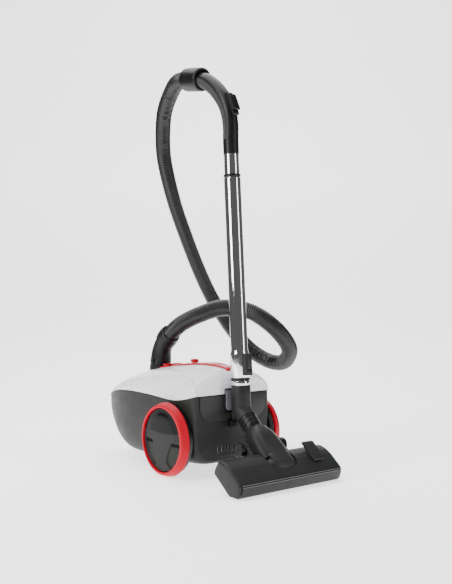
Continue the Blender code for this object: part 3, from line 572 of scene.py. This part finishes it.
def upright_rims(ring):
    """Makes a section's two rims upright for a short way, so that the wall's thickness stays level there."""
    (x0, y0, z0), (x1, y1, z1) = ring[0], ring[-1]
    rise = (ring[1][2] - z0) / 2
    return [ring[0], (x0, y0, z0 + rise), *ring[1:-1], (x1, y1, z1 + rise), ring[-1]]


def upper_ring(y, points, shape=None):
    half, _, top = body_at(y)
    seam = curve_value(PARTING, y, 1) + SEAM / 2
    found = []
    for k in range(points):
        angle = math.pi * k / (points - 1)
        c, s = math.cos(angle), max(math.sin(angle), 0.0)
        x = half * math.copysign(abs(c) ** (2 / 2.3), c)
        z = seam + (top - seam) * s ** (2 / 2.3)
        if shape:
            z -= shape(x, y)
        found.append((x, y, z))
    return upright_rims(found)


def lower_ring(y, points):
    half, bottom, _ = body_at(y)
    half -= 2.2 * min(1.0, (half / 90) ** 2)
    power = curve_value(BODY, y, 4)
    seam = curve_value(PARTING, y, 1) - SEAM / 2
    found = []
    for k in range(points):
        angle = math.pi * k / (points - 1)
        c, s = math.cos(angle), max(math.sin(angle), 0.0)
        x = half * math.copysign(abs(c) ** (2 / power), c)
        found.append((x, y, max(seam - (seam - bottom) * s ** (2 / power), FLAT_Z)))
    return upright_rims(found)


def lid_outline(grow):
    half = [(0, 116.6), (25, 116.6), (37, 108.7), (47, 88), (59, 62), (77, 2), (86, -42), (92.5, -62),
            (95, -90)]
    right = [(x + grow * (x > 0), y + grow * (y > 100)) for x, y in half]
    return right + [(-x, y) for x, y in reversed(right[1:])]


def nose_outline(grow):
    seam = [(x, 239 - 73 * (x / 95) ** 2 - grow) for x in range(-120, 121, 5)]
    return seam + [(120, 360), (-120, 360)]


def lid_grooves(x, y):
    """Depth of the slanted grooves beside the red strip."""
    across = abs(x)
    phase = ((y - 1.1 * (across - 34)) / 8.5) % 1.0
    groove = step_between(phase, 0.0, 0.12) * (1 - step_between(phase, 0.28, 0.5))
    window = step_between(across, 35, 38) * (1 - step_between(across, 56, 66))
    return 0.55 * groove * window * step_between(y, -48, -40) * (1 - step_between(y, 62, 76))


def make_shells():
    lower = loft([lower_ring(y, 90) for y in stations(4.0)], ring_closed=False)
    lower = applied(
        lower, ("SOLIDIFY", WALL),
        ("DIFFERENCE", cylinder(8.5, -130, 130, "X", (0, 0, 75.2))),
        ("DIFFERENCE", cylinder(33.4, 10, 60, "Z", (0, 195, 0), 96)),
        *(("DIFFERENCE", block((9.6 * i - 1.7, -80, 44), (9.6 * i + 1.7, -62, 62), 0)) for i in range(-4, 5)),
        ("DIFFERENCE", cylinder(9.4, -20, 20, "Y", (56, -72, 86))),
    )
    place("lower_body", lower, BASE, DARK, "canister", ["lower_shell"], 28)

    skin = [upper_ring(y, 110) for y in stations(4.0)]
    white = applied(
        loft(skin, ring_closed=False), ("SOLIDIFY", WALL),
        ("DIFFERENCE", prism(lid_outline(LID_GAP), 100, 260)),
        ("DIFFERENCE", prism(nose_outline(NOSE_GAP), 60, 260)),
        ("DIFFERENCE", cylinder(26.3, 160, 230, "Z", (0, 190, 0), 96)),
    )
    place("upper_body", white, BASE, WHITE, "canister", ["upper_shell"], 28)
    nose = applied(loft(skin, ring_closed=False), ("SOLIDIFY", WALL),
                   ("INTERSECT", prism(nose_outline(-NOSE_GAP), 60, 260)))
    place("nose_panel", nose, BASE, WHITE, "canister", ["nose_cover"], 28)
    fine = [y for y in stations(1.2) if y < 126]
    lid = applied(loft([upper_ring(y, 210, lid_grooves) for y in fine], ring_closed=False),
                  ("SOLIDIFY", WALL),
                  ("INTERSECT", prism(lid_outline(-LID_GAP), 100, 260)),
                  ("DIFFERENCE", block((-22.5, -80, 150), (22.5, -60, 178), 0)))
    place("lid_skin", lid, BASE, WHITE, "lid", ["rear_lid"], 28)
    for side in (-1, 1):
        low, high = sorted((side * 24.0, side * 57.0))
        tab = applied(prism(rounded([(low, 168.6), (high, 168.6), (high, 181.5), (low, 181.5)], 5.0, 8),
                            -70.9, -69.4, "Y"), ("BEVEL", 0.5))
        place(f"lid_tab_{'left' if side < 0 else 'right'}", tab, BASE, WHITE, "lid", ())


def strip_height(x, y):
    width, _, top = body_at(y)
    seam = curve_value(PARTING, y, 1) + SEAM / 2
    return seam + (top - seam) * (1 - abs(x / width) ** 2.3) ** (1 / 2.3)


def strip(rows, low, high, points=41):
    """A thin arched strip that follows the top of the body, with its long edges rolled over."""
    rings = []
    for y, half in rows:
        across = [half - 2 * half * i / (points - 1) for i in range(points)]
        roll = [(1 - step_between(half - abs(x), 0.0, 1.6)) * 1.2 for x in across]
        upper = [(x, y, strip_height(x, y) + high - r) for x, r in zip(across, roll)]
        lower = [(x, y, strip_height(x, y) + low) for x in reversed(across)]
        rings.append(upper + lower)
    return loft(rings)


def make_strips():
    front = [(119.5 + i * 37 / 24) for i in range(25)]
    shape = [(119.5, 28), (128, 29), (140, 29.5), (150, 29), (156.5, 27)]
    made = applied(strip([(y, curve_value(shape, y, 1)) for y in front], 0.35, 3.2),
                   ("DIFFERENCE", block((-24, 133, 195), (24, 150, 230), 0)))
    place("front_panel", made, BASE, RED, "canister", ["front_strip"], 30)
    shape = [(-62, 9), (-20, 17), (30, 25), (80, 28.6), (115, 26)]
    rows = [-62 + i * 177 / 90 for i in range(91)]
    place("spine", strip([(y, curve_value(shape, y, 1)) for y in rows], 0.5, 3.6), BASE, RED, "lid",
          ["lid_spine"],
          30)
    base = body_at(61.0)[2] + 4.6
    knob = lathe([(0, 6.6), (7.4, 6.6), (8.6, 5.4), (9.0, 0), (6.0, 0), (6.0, -0.9), (0, -0.9)],
                 at=(0, 61, base),
                 soft=0.5)
    pointer = block((-1.4, 54.5, base + 2.2), (1.4, 67.5, base + 6.9), 0.5)
    place("dial", merged(knob, pointer), BASE, RED, "knob", ["flow_knob"])
    for name, node, body, x in (("power_key_cap", "power_button", "power_key", 12.4),
                                ("rewind_key_cap", "rewind_button", "rewind_key", -12.4)):
        top = body_at(141.5)[2]
        key = block((x - 10.6, 134, top + 3.2), (x + 10.6, 149, top + 7.5), 1.4)
        rib = [block((x - 6, 137.5 + 2.6 * i, top + 7.2), (x + 6, 138.7 + 2.6 * i, top + 7.8), 0.3)
               for i in range(3)]
        place(name, merged(key, *rib), BASE, RED, body, [node])


def u_outline(half, bottom, top, corner, steps=16):
    right = [
        (half - corner * (1 - math.cos(a)), bottom + corner * (1 - math.sin(a)))
        for a in (math.pi / 2 * k / steps for k in range(steps + 1))
    ]
    return [(half, top), *right, *((-x, z) for x, z in reversed(right)), (-half, top)]


def make_rear():
    cover = applied(prism(u_outline(87, 114, 165, 30), -73.0, -70.5, "Y"), ("BEVEL", 0.8))
    cover = applied(cover, ("DIFFERENCE", block((-23, -80, 128), (23, -60, 180), 0)))
    place("rear_panel", cover, BASE, DARK_PANEL, "canister", ["exhaust_cover"], 30)
    latch = applied(prism(u_outline(21, 133.5, 174.5, 8.0), -74.6, -70.8, "Y"), ("BEVEL", 1.2))
    grips = [block((-13, -75.0, 139 + 3.6 * i), (13, -74.2, 140.6 + 3.6 * i), 0.35) for i in range(5)]
    place("latch_plate", merged(latch, *grips), BASE, LATCH, "latch", ["lid_latch"], 30)
    bracket = applied(block((-14, -84.0, 99), (14, -70.4, 112.5), 1.6),
                      ("DIFFERENCE", block((-9.6, -80.8, 102.5), (9.6, -76.4, 125), 0)))
    place("bracket", bracket, BASE, BLACK, "canister", ["park_bracket"], 30)
    collar = lathe([(25.2, 7.2), (25.8, 6.2), (25.8, -12), (19.2, -12), (19.2, 7.2)], at=(0, 190, 200),
                   soft=0.8)
    place("inlet_ring", collar, BASE, BLACK, "canister", ["inlet_collar"])
    gland = lathe([(9.0, 12.5), (9.0, 0), (4.2, 0), (4.2, 12.5)], "Y", (56, -74.5, 86), 64, 1.0)
    place("gland", gland, BASE, BLACK, "canister", ["cord_gland"])


# ---------------------------------------------------------------- wheels


# Edges of the cap's waisted middle: height below the axle, and half width.
SCOOPS = ((-60.0, 33.0), (-53.0, 26.0), (-46.0, 18.0), (-38.0, 16.0), (-25.0, 20.5), (-12.0, 27.0),
          (-2.0, 33.0))


def cap_height(y, z):
    """Height of the wheel cap's face: a low dome, with a raised middle and a scoop on each side."""
    r = math.hypot(y, z)
    face = 130.4 - 0.4 * min(r / 40, 1) ** 2 - 1.4 * step_between(r, 40, 63)
    if z < -1.0:
        waist = curve_value(SCOOPS, z, 1)
        scoop = step_between(abs(y), waist, waist + 2.4) * (1 - step_between(r, 60.0, 62.0))
        deep = 2.2 + 0.9 * step_between(z, -9.5, -7.0)
        face -= deep * scoop * (1 - step_between(z, -3.0, -1.0))
    if r < 62:
        face -= 0.25 * (1 - step_between(abs(z - gloss_edge(y)), 0.0, 0.8))
    return face


def gloss_edge(y):
    """Height of the line where the polished upper part of the cap ends."""
    return 14.0 + 5.0 * (y / 60.0) ** 2


def cap_mesh(side):
    """The cap's face as a fine polar grid, with a rim turned back behind it."""
    turns, steps, radius = 180, 78, 63.0
    bm = bmesh.new()
    middle = bm.verts.new((side * cap_height(0, 0), 0, 0))
    rings = []
    for i in range(1, steps + 1):
        r = radius * i / steps
        rings.append([
            bm.verts.new((side * cap_height(r * math.cos(a), r * math.sin(a)), r * math.cos(a),
                          r * math.sin(a)))
            for a in (2 * math.pi * k / turns for k in range(turns))
        ])
    for r, x in ((63.4, 128.2), (63.5, 124.0), (58.0, 124.0), (56.0, 125.4)):
        rings.append([bm.verts.new((side * x, r * math.cos(a), r * math.sin(a)))
                      for a in (2 * math.pi * k / turns for k in range(turns))])
    back = bm.verts.new((side * 126.0, 0, 0))
    for k in range(turns):
        bm.faces.new((middle, rings[0][k], rings[0][(k + 1) % turns]))
        bm.faces.new((back, rings[-1][(k + 1) % turns], rings[-1][k]))
    for one, two in zip(rings, rings[1:]):
        for k in range(turns):
            j = (k + 1) % turns
            bm.faces.new((one[k], two[k], two[j], one[j]))
    mesh = mesh_of(bm)
    mesh.transform(Matrix.Translation((0, 0, 75.2)))
    return mesh


def cap_look(p):
    """Polished black above, grey below, and painted shade: a darker material where the scoops are deepest."""
    z = p.z - 75.2
    if z > gloss_edge(p.y):
        return 0
    waist = curve_value(SCOOPS, max(z, -60.0), 1)
    # Index 2 is painted shade in the upper part of each scoop.
    return 2 if -9.0 < z < -2.0 and waist + 1.5 < abs(p.y) < 60 else 1


def make_wheels():
    for side, name in ((-1, "left"), (1, "right")):
        flip = side < 0
        axis = (0, 0, 75.2)
        tyre = [(64.8, 132.5), (69.4, 132.3), (71.2, 130.2), (75.2, 117.6), (75.2, 115.0), (74.0, 114.4),
                (64.8, 114.4)]
        place(f"tread_{name}", lathe(tyre, "X", axis, 160, 1.2, flip), BASE, TYRE, f"wheel_{name}",
              [f"tyre_{name}"],
              25)
        hub = [(8.0, 123.4), (64.4, 123.4), (64.4, 114), (71.8, 114), (72.2, 112.8), (70.0, 103.5),
               (60, 103.5),
               (60, 118.2), (24, 118.2), (24, 107), (8.0, 107)]
        spokes = []
        for k in range(9):
            spoke = block((107, 23, -1.4), (118.6, 61, 1.4), 0.4)
            spoke.transform(Matrix.Rotation(2 * math.pi * k / 9, 4, "X"))
            if flip:
                spoke.transform(Matrix.Rotation(math.pi, 4, "Z"))
            spoke.transform(Matrix.Translation(axis))
            spokes.append(spoke)
        place(f"rim_{name}", merged(lathe(hub, "X", axis, 128, 0.9, flip), *spokes), BASE, BLACK,
              f"wheel_{name}",
              [f"hub_{name}"], 30)
        place(f"disc_{name}", cap_mesh(side), BASE, [PIANO, CAP_GREY, SCOOP_SHADE], f"wheel_{name}",
              [f"cap_{name}"],
              40, cap_look)


# ---------------------------------------------------------------- elbow, wand and handle


def make_elbow():
    low = lathe([(25.2, 211.3), (25.2, 208), (18.4, 208), (18.4, 196.4), (15.2, 196.4), (15.2, 211.3)],
                at=(0, 190, 0), soft=0.9)
    path = [(0, 211), (-1, 226), (-4, 241), (-11, 255), (-19, 265)]
    bend = sweep([(y + 190, z) for y, z in path], [23.9, 23.4, 22.2, 21.2, 20.6], [15.2] * 5, 72, 28)
    path = [(-17.4, 263.6), (-18.2, 264.3), (-29, 273.6), (-39.6, 281.8), (-40.6, 282.6)]
    cuff = sweep([(y + 190, z) for y, z in path], [21.6, 23.2, 22.9, 22.4, 21.4], [19.8] * 5, 72)
    grooves = []
    for i in range(3):
        y, z = -22.5 - 5.2 * i + 190, 268.2 + 4.4 * i
        ring = lathe([(23.7, 1.0), (23.7, -1.0), (21.6, -1.0), (21.6, 1.0)], soft=0.5, sides=72)
        ring.transform(Matrix.Translation((0, y, z)) @ Matrix.Rotation(math.radians(50), 4, "X"))
        grooves.append(ring)
    place("elbow_body", merged(low, bend, cuff, *grooves), BASE, BLACK, "elbow", ["hose_elbow"],
          30)
    ring = lathe([(7.8, -20.4), (7.8, -24.2), (6.4, -24.2), (6.4, -20.4)], "X", (0, 190.3, 218.9), 48, 0.4)
    place("elbow_button_ring", ring, BASE, SATIN, "elbow", ())
    key = lathe([(0, -21.8), (5.5, -21.8), (5.5, -26.2), (0, -25.6)], "X", (0, 190.3, 218.9), 48, 0.5)
    place("elbow_key_cap", key, BASE, DARK_PANEL, "elbow_key", ["elbow_button"])


def make_wand():
    inner = lathe([(15.5, 398), (15.5, 8.6), (19.0, 8.6), (19.0, 1.4), (15.5, 1.4), (15.5, -52), (14.0, -52),
                   (14.0, 398)], sides=128, soft=0.5)
    place("wand_inner", inner, WAND, CHROME, "wand_lower", ["inner_tube"], 25)
    band = lathe([(19.6, 14.6), (19.6, 9.4), (16.3, 9.4), (16.3, 14.6)], sides=96, soft=0.5)
    place("wand_band", band, WAND, BLACK, "wand_upper", ["end_band"])
    outer = lathe([(15.75, 474), (15.75, 427), (17.5, 424.5), (17.5, 70), (19.5, 64), (19.5, 15.2),
                   (16.2, 15.2),
                   (16.2, 415), (14.4, 420), (14.4, 474)], sides=128, soft=1.2)
    place("wand_outer", outer, WAND, CHROME, "wand_upper", ["outer_tube"], 20)
    ring = lathe([(17.9, 432.4), (17.9, 428), (16.1, 428), (16.1, 432.4)], sides=96, soft=0.6)
    place("wand_ring", ring, WAND, BLACK, "wand_upper", ["tube_ring"])
    housing = applied(block((-8.8, -29.5, 20), (8.8, -14, 64), 2.2),
                      ("DIFFERENCE", cylinder(19.8, 0, 80, sides=96)),
                      ("DIFFERENCE", block((-6.0, -31, 28), (6.0, -26.4, 56), 0)))
    place("lock_block", housing, WAND, DARK, "wand_upper", ["lock_housing"], 30)
    key = block((-5.5, -32.0, 33), (5.5, -26.9, 55.4), 1.4)
    ribs = [block((-4.2, -32.4, 37 + 3.2 * i), (4.2, -31.6, 38.3 + 3.2 * i), 0.3) for i in range(5)]
    place("lock_key_cap", merged(key, *ribs), WAND, DARK_PANEL, "lock_key", ["lock_button"], 30)


HANDLE_PATH = ((-64.5, 660.2), (-63.6, 690.0), (-62.2, 720.7), (-55.5, 749.0), (-40.4, 776.5), (-17.1, 801.7),
               (8.5, 821.0), (25.0, 829.6), (44.0, 835.4))


def make_handle():
    lean = math.radians(3.68)
    start = Vector(HANDLE_PATH[0])
    down = Vector((-math.sin(lean), -math.cos(lean)))
    spigot = sweep([tuple(start + down * 24), tuple(start - down * 2)], [13.8, 13.8], [11.6, 11.6], 64)
    collar = [tuple(start), *(tuple(start - down * d) for d in (0.6, 29.0, 29.6))]
    lower = sweep(collar, [15.6, 16.2, 16.4, 16.0], [11.6] * 4, 72)
    grip = sweep([tuple(start - down * 30.2), (-62.2, 720.7), *HANDLE_PATH[3:]],
                 [(16.3, 16.5), (16.4, 16.8), (16.6, 17.4), (16.8, 17.8), (16.8, 17.8), (16.8, 17.6),
                  (16.8, 17.0),
                  (16.6, 16.6)], [11.6] * 8, 96, 70)
    bottom = tuple(start - down * 29.8)

    def side_of(p):
        """The paler panels are on the grip's two flanks and inner side, and the outer side is darker."""
        if p.z < bottom[1] + 0.5:
            return 0
        nearest = min(range(len(line)), key=lambda i: (line[i] - Vector((p.y, p.z))).length_squared)
        run = (line[min(nearest + 1, len(line) - 1)] - line[max(nearest - 1, 0)]).normalized()
        out = Vector((-run.y, run.x))
        lift = (Vector((p.y, p.z)) - line[nearest]).dot(out)
        return 1 if lift < 3.0 else 0

    line = [Vector((curve_value([(i, *q) for i, q in enumerate(HANDLE_PATH)], t / 10, 1),
                    curve_value([(i, *q) for i, q in enumerate(HANDLE_PATH)], t / 10, 2)))
            for t in range(0, 81)]
    rail = block((-8.5, -20.6, -27), (8.5, -14.5, 27), 1.2)
    rail.transform(local_in_base(SLIDER))
    place("grip", merged(spigot, lower, grip, rail), BASE, [BLACK, GRIP_SIDE], "wand_upper", ["handle_grip"],
          30, side_of)
    slider = block((-10, -27, -19), (10, -21.1, 19), 2.2)
    ribs = [block((-8.5, -27.4, -12 + 4 * i), (8.5, -26.6, -10.4 + 4 * i), 0.3) for i in range(6)]
    place("slider_cap", merged(slider, *ribs), SLIDER, SATIN, "slider", ["suction_slider"], 30)
    cuff = lathe([(23.0, 31), (25.4, 27), (25.8, 0), (25.2, -24), (23.5, -27), (19.8, -27), (19.8, 31)],
                 sides=128,
                 soft=1.4)
    place("cuff_barrel", cuff, CUFF, BLACK, "cuff", ["handle_cuff"], 30)


def local_in_base(where):
    """The change from one group's millimetres to the assembly's."""
    inverse = BASE.inverted() @ where
    inverse.translation = inverse.translation / MM
    return inverse


# ---------------------------------------------------------------- neck and floor head


def make_neck():
    wand_line = [(-95.06 - 0.0643 * d, 185.2 - 0.998 * d) for d in (0, 0.8, 20, 38)]
    bend = [(-98.6, 139.5), (-101.2, 132.2), (-106.6, 127.4), (-114.3, 120.2)]
    socket = sweep(wand_line + bend, [18.7, 19.3, 19.4, 19.5, 19.5, 19.5, 19.5, 19.5],
                   [15.9, 15.9, 15.9, 15.9, 14.0, 14.0, 14.0, 14.0], 96)
    hook = prism([(-80.1, 104), (-80.1, 131), (-84, 140), (-84, 150), (-77.0, 150), (-77.0, 105), (-78, 104)],
                 -9, 9, "X")
    place("socket", merged(socket, applied(hook, ("BEVEL", 0.8))), BASE, DARK, "wand_lower", ["neck_socket"],
          40)
    ribs = []
    for start in (13.6, 4.6, -4.4):
        ribs += [(19.8, start), (19.8, start - 5.6), (18.9, start - 5.7), (18.9, start - 8.9)]
    ribs[-1] = (18.9, -13.8)
    place("collar", lathe([*ribs, (14.0, -13.8), (14.0, 13.6)], sides=96, soft=0.5), NECK, BLACK, "neck",
          ["neck_collar"], 30)


TILT_PIVOT = (38.5, 23.2)
DRUM = ((0.0, 34.4), (13.0, 34.4), (17.0, 31.0), (19.8, 26.0), (21.6, 18.0), (22.4, 9.0), (22.6, 0.0))
TONGUE = (
    (136.3, 6.3, 44.3, 19.0, 2.0), (126, 6.6, 46.2, 25.0, 2.5), (112, 7.0, 47.6, 30.5, 3.0),
    (92, 6.2, 47.0, 33.0, 3.4), (70, 5.4, 46.2, 33.8, 3.2), (55, 5.4, 45.6, 33.4, 2.8),
)


def drum(clearance):
    """The drum that the floor head tilts on, grown by a clearance: it narrows towards its ends."""
    grown = [(r + clearance * (r > 0), x + clearance * (x > 0)) for r, x in DRUM]
    profile = grown + [(r, -x) for r, x in reversed(grown[:-1])]
    return lathe(profile, "X", (0, *TILT_PIVOT), 128, 6.0)


def tongue_ring(s, points=96):
    rows = sorted(TONGUE)
    low, high, half, power = (curve_value(rows, s, column) for column in (1, 2, 3, 4))
    middle, tall = (low + high) / 2, (high - low) / 2
    found = []
    for k in range(points):
        angle = 2 * math.pi * k / points
        c, n = math.cos(angle), math.sin(angle)
        found.append((half * math.copysign(abs(c) ** (2 / power), c), s,
                      middle + tall * math.copysign(abs(n) ** (2 / power), n)))
    return found


def make_tongue():
    lean = math.tan(math.radians(45 - 38.5))
    rings = []
    for i in range(46):
        s = 136.3 - 81.3 * i / 45
        share = max(0.0, (s - 122.0) / 14.3)
        rings.append([(x, y - (z - 25.3) * lean * share, z) for x, y, z in tongue_ring(s)])
    body = applied(loft(rings), ("UNION", drum(0.0)))
    plate = []
    for i in range(49):
        s = 20.0 + 108.0 * i / 48
        half = 25.5 * math.sqrt(max(1 - ((s - 50.0) / 30.0) ** 2,
                                    0.0)) if s < 50 else 25.5 - 8.5 * ((s - 50) / 78) ** 2
        plate.append((s, max(half, 0.4)))
    rows = sorted(TONGUE)
    pivot_s, pivot_n = TILT_PIVOT

    def shell_top(x, s):
        low, high, half, power = (curve_value(rows, s, column) for column in (1, 2, 3, 4))
        share = min(abs(x) / half, 0.999)
        return (low + high) / 2 + (high - low) / 2 * (1 - share**power) ** (1 / power)

    def drum_top(x, s):
        reach = curve_value([(-edge, r) for r, edge in DRUM], -min(abs(x), 34.0), 1)
        return pivot_n + math.sqrt(max(reach**2 - (pivot_s - s) ** 2, 0.0))

    def crown(x, s):
        """Height of the joined top: the drum in front, the tongue behind, and level ground between them."""
        if s < pivot_s:
            return drum_top(x, s)
        return max(drum_top(x, s), shell_top(x, max(s, 55.0)) if s > 50 else 0.0,
                   drum_top(x, pivot_s) * (s < 58))

    def lifted(edge, lift):
        found = []
        for s, half in plate:
            ring = []
            count = 25
            for j in range(count):
                x = half * edge * (1 - 2 * j / (count - 1))
                roll = step_between(1 - abs(x) / (half * edge), 0.0, 0.14)
                ring.append((x, s, crown(x, s) + lift * roll))
            found.append(ring + [(x, y, z - 2.0) for x, y, z in reversed(ring)])
        return found

    place("tongue_body", body, HEAD, DARK, "neck", ["neck_tongue"], 30)
    place("tongue_plate", loft(lifted(1.0, 1.0)), HEAD, DARK_PANEL, "neck", (), 40)
    ribs = []
    for i in range(6):
        ribs.append(block((-24, 118 + 2.9 * i, 5.0 + 0.3 * i), (24, 119.3 + 2.9 * i, 8.0 + 0.3 * i), 0.4))
    place("tongue_ribs", merged(*ribs), HEAD, BLACK, "neck", (), 30)


NOZZLE = (
    (9.5, 0.0), (-8.5, 14.2), (-8.8, 17.0), (-8.2, 24.0), (-4.0, 34.0), (-1.5, 38.0), (2.0, 39.8),
    (20.0, 40.4), (40.0, 40.4), (52.0, 38.8), (63.0, 35.2), (71.0, 31.0), (72.5, 28.0), (71.0, 9.0),
    (67.0, 0.0),
)


def make_head():
    outline = rounded(NOZZLE, 3.0, 5)
    centre = Vector((32.0, 18.0))

    def inset_by(inset):
        found = []
        for s, n in outline:
            away = Vector((s, n)) - centre
            found.append((s - inset * away.x / 40, max(n - inset * away.y / 20, 0.0)))
        return found

    half = 134.0
    places = []
    for k in range(9):
        a = math.pi / 2 * k / 8
        places.append((half - 6.0 * (1 - math.sin(math.pi / 2 - a)), 4.2 * (1 - math.sin(a))))
    places.append((half - 14.0, 0.0))
    rows = [(-x, i) for x, i in places] + [(x, i) for x, i in reversed(places)]
    shell = loft([[(x, s, n) for s, n in inset_by(i)] for x, i in rows])
    inside = [(12.4, -4), (12.4, 1.0), (-5.4, 16.0), (-5.0, 23.2), (-1.2, 33.0), (2.4, 36.8), (20, 37.6),
              (40, 37.6), (51.6, 36.2), (62, 32.8), (68.6, 29.0), (69.6, 27.0), (68.4, 9.4), (64.4, 1.0),
              (64.4, -4)]
    shell = applied(shell, ("DIFFERENCE", prism(inside, -128.4, 128.4, "X")),
                    ("DIFFERENCE", drum(1.0)),
                    ("DIFFERENCE", block((-35.6, 38.5, -5), (35.6, 90, 60), 0)))
    extra = []
    arm = [(66, 4), (104, 3), (109, 8), (109, 18), (104, 23), (88, 27), (66, 28.5)]
    for side in (-1, 1):
        low, high = sorted((side * 41.5, side * 47.5))
        extra.append(applied(prism(rounded(arm, 2.0), low, high, "X"), ("BEVEL", 0.8)))
        low, high = sorted((side * 44, side * 60.5))
        extra.append(cylinder(3.0, low, high, "X", (0, 100, 13.6), 48, 0.4))
    place("head_shell", merged(shell, *extra), HEAD, DARK, "floor_head", ["nozzle_housing"], 30)

    front = applied(prism([(-9.8, 22.0), (-5.2, 34.6), (-3.0, 38.2), (-4.0, 39.0), (-6.8, 35.0),
                           (-11.2, 22.4)],
                          -128.0, 128.0, "X"), ("BEVEL", 0.5))
    lips = []
    for s, n in ((-4.3, 38.6), (-1.5, 40.6)):
        lips.append(applied(prism([(s - 0.7, n - 0.5), (s + 0.7, n - 0.5), (s + 0.5, n + 0.7),
                                   (s - 0.5, n + 0.7)],
                                  -128.0, 128.0, "X"), ("BEVEL", 0.25)))
    place("front_face", front, HEAD, DARK, "floor_head", ["bumper"], 35)
    place("front_ridges", merged(*lips), HEAD, RIDGE, "floor_head", (), 35)

    for side, name in ((-1, "left"), (1, "right")):
        low = 48.2 if side > 0 else -60.2
        tyre = lathe([(12.6, low + 12), (14.0, low + 10.6), (14.0, low + 1.4), (12.6, low), (3.5, low),
                      (3.5, low + 12)],
                     "X", (0, 100, 13.6), 96, 1.0)
        edge = low + 12 if side > 0 else low
        disc = lathe([(10.2, edge - side * 0.2), (10.2, edge + side * 0.5), (8.6, edge + side * 0.5),
                      (8.6, edge - side * 0.2)], "X", (0, 100, 13.6), 64, 0.3)
        place(f"roller_{name}", merged(tyre, disc), HEAD, BLACK, f"head_roller_{name}",
              [f"head_wheel_{name}"],
              30)
    rocker = rounded([(24, 43.4), (25.5, 46), (40, 47.8), (68, 49.0), (72, 47.6), (71, 43.6), (47, 41.4)],
                     1.5, 4)
    pedal = applied(prism(rocker, 71, 99, "X"), ("BEVEL", 1.0))
    ribs = [block((73, 27.5 + 2.7 * i, 45.4 + 0.3 * i), (97, 28.8 + 2.7 * i, 47.1 + 0.33 * i), 0.35)
            for i in range(5)]
    place("pedal_top", merged(pedal, *ribs), HEAD, DARK_PANEL, "foot_pedal", ["pedal"], 30)


# ---------------------------------------------------------------- the CAD nodes that stay

KEPT = {
    "inlet_duct": GREY, "bag_tub": DARK, "bag_holder": GREY, "motor_filter": FELT,
    "motor_housing": DARK, "motor_stator": STEEL, "motor_rotor": STEEL, "exhaust_filter": FELT,
    "axle_left": STEEL,
    "axle_right": STEEL, "caster_socket": BLACK, "caster_fork": BLACK, "caster_wheel": DARK,
    "cord_reel": GREY,
    "sole_plate": BLACK, "brush_strip": BRISTLE,
}


def finish_kept():
    for name, look in KEPT.items():
        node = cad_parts[name]
        node.data.materials.clear()
        node.data.materials.append(look)


def make_bag():
    """The dust bag: a soft pillow of fleece."""
    bm = bmesh.new()
    bmesh.ops.create_cube(bm, size=1.0)
    mesh = mesh_of(bm)
    mesh = applied(mesh, ("SUBSURF", 5))
    for vertex in mesh.vertices:
        p = vertex.co * 1.55
        wrinkle = 1 + 0.018 * math.sin(9 * p.x + 4 * p.z) * math.cos(7 * p.y - 5 * p.z)
        squared = [math.copysign(min(abs(v) * 2, 1.0) ** 0.8, v) / 2 for v in p]
        vertex.co = Vector((squared[0] * 128 * wrinkle, 18 + squared[1] * 124 * wrinkle,
                            127 + squared[2] * 92 * wrinkle))
    made = place("bag", mesh, BASE, FLEECE, "canister", ["dust_bag"], 80)


# ---------------------------------------------------------------- stage and light


def area(name, at, look_at, size, power, colour=(1, 1, 1)):
    data = bpy.data.lights.new(name, "AREA")
    data.shape = "RECTANGLE"
    data.size, data.size_y = size
    data.energy, data.color = power, colour
    made = bpy.data.objects.new(name, data)
    made.location = at
    made.rotation_euler = (Vector(look_at) - Vector(at)).to_track_quat("-Z", "Y").to_euler()
    bpy.context.scene.collection.objects.link(made)


def make_stage():
    """A pale sweep: a floor that curves up into a far wall, with soft boxes to both sides and above."""
    bm = bmesh.new()
    run = [(-6.0, 0.0), (3.2, 0.0)]
    run += [(3.2 + 1.2 * math.sin(a), 1.2 * (1 - math.cos(a)))
            for a in (math.pi / 2 * k / 20 for k in range(1, 21))]
    run.append((4.4, 5.0))
    forward = Vector((math.sin(math.radians(-CAMERA_TURN)), math.cos(math.radians(-CAMERA_TURN)), 0))
    across = Vector((forward.y, -forward.x, 0))
    rows = []
    for along, height in run:
        rows.append([bm.verts.new(forward * along + across * side + Vector((0, 0, height - 0.0005)))
                     for side in (-2.6, 2.6)])
    for one, two in zip(rows, rows[1:]):
        bm.faces.new((one[0], one[1], two[1], two[0]))
    floor = new_object("floor", mesh_of(bm))
    n = Nodes("studio_floor")
    n.link(n.mixed(n.ranged(n.noise(3.0), 0.0, 1.0), (0.93, 0.93, 0.93), (0.95, 0.95, 0.95)), "Base Color")
    n.shader.inputs["Roughness"].default_value = 0.8
    n.shader.inputs["Emission Color"].default_value = (1, 1, 1, 1)
    n.shader.inputs["Emission Strength"].default_value = 1.6
    floor.data.materials.append(n.material)
    floor.data.shade_smooth()

    world = bpy.data.worlds.new("studio")
    world.use_nodes = True
    back = world.node_tree.nodes["Background"]
    back.inputs["Color"].default_value = (1, 1, 1, 1)
    back.inputs["Strength"].default_value = 0.12
    bpy.context.scene.world = world
    area("key_left", (-2.2, 0.0, 1.7), (0, 0, 0.35), (1.0, 2.4), 70)
    area("strip_right", (1.0, -2.2, 1.0), (0, 0, 0.4), (0.35, 2.2), 18)
    area("top", (0.1, 0.5, 2.6), (0, 0, 0.2), (2.4, 2.0), 70)
    area("wall_wash", (1.2, 1.3, 3.2), (2.6, 3.2, 1.2), (3.0, 1.0), 60)


def main():
    make_camera()
    make_hose()
    make_stage()
    make_shells()
    make_strips()
    make_rear()
    make_wheels()
    make_elbow()
    make_wand()
    make_handle()
    make_neck()
    make_tongue()
    make_head()
    make_bag()
    finish_kept()


main()
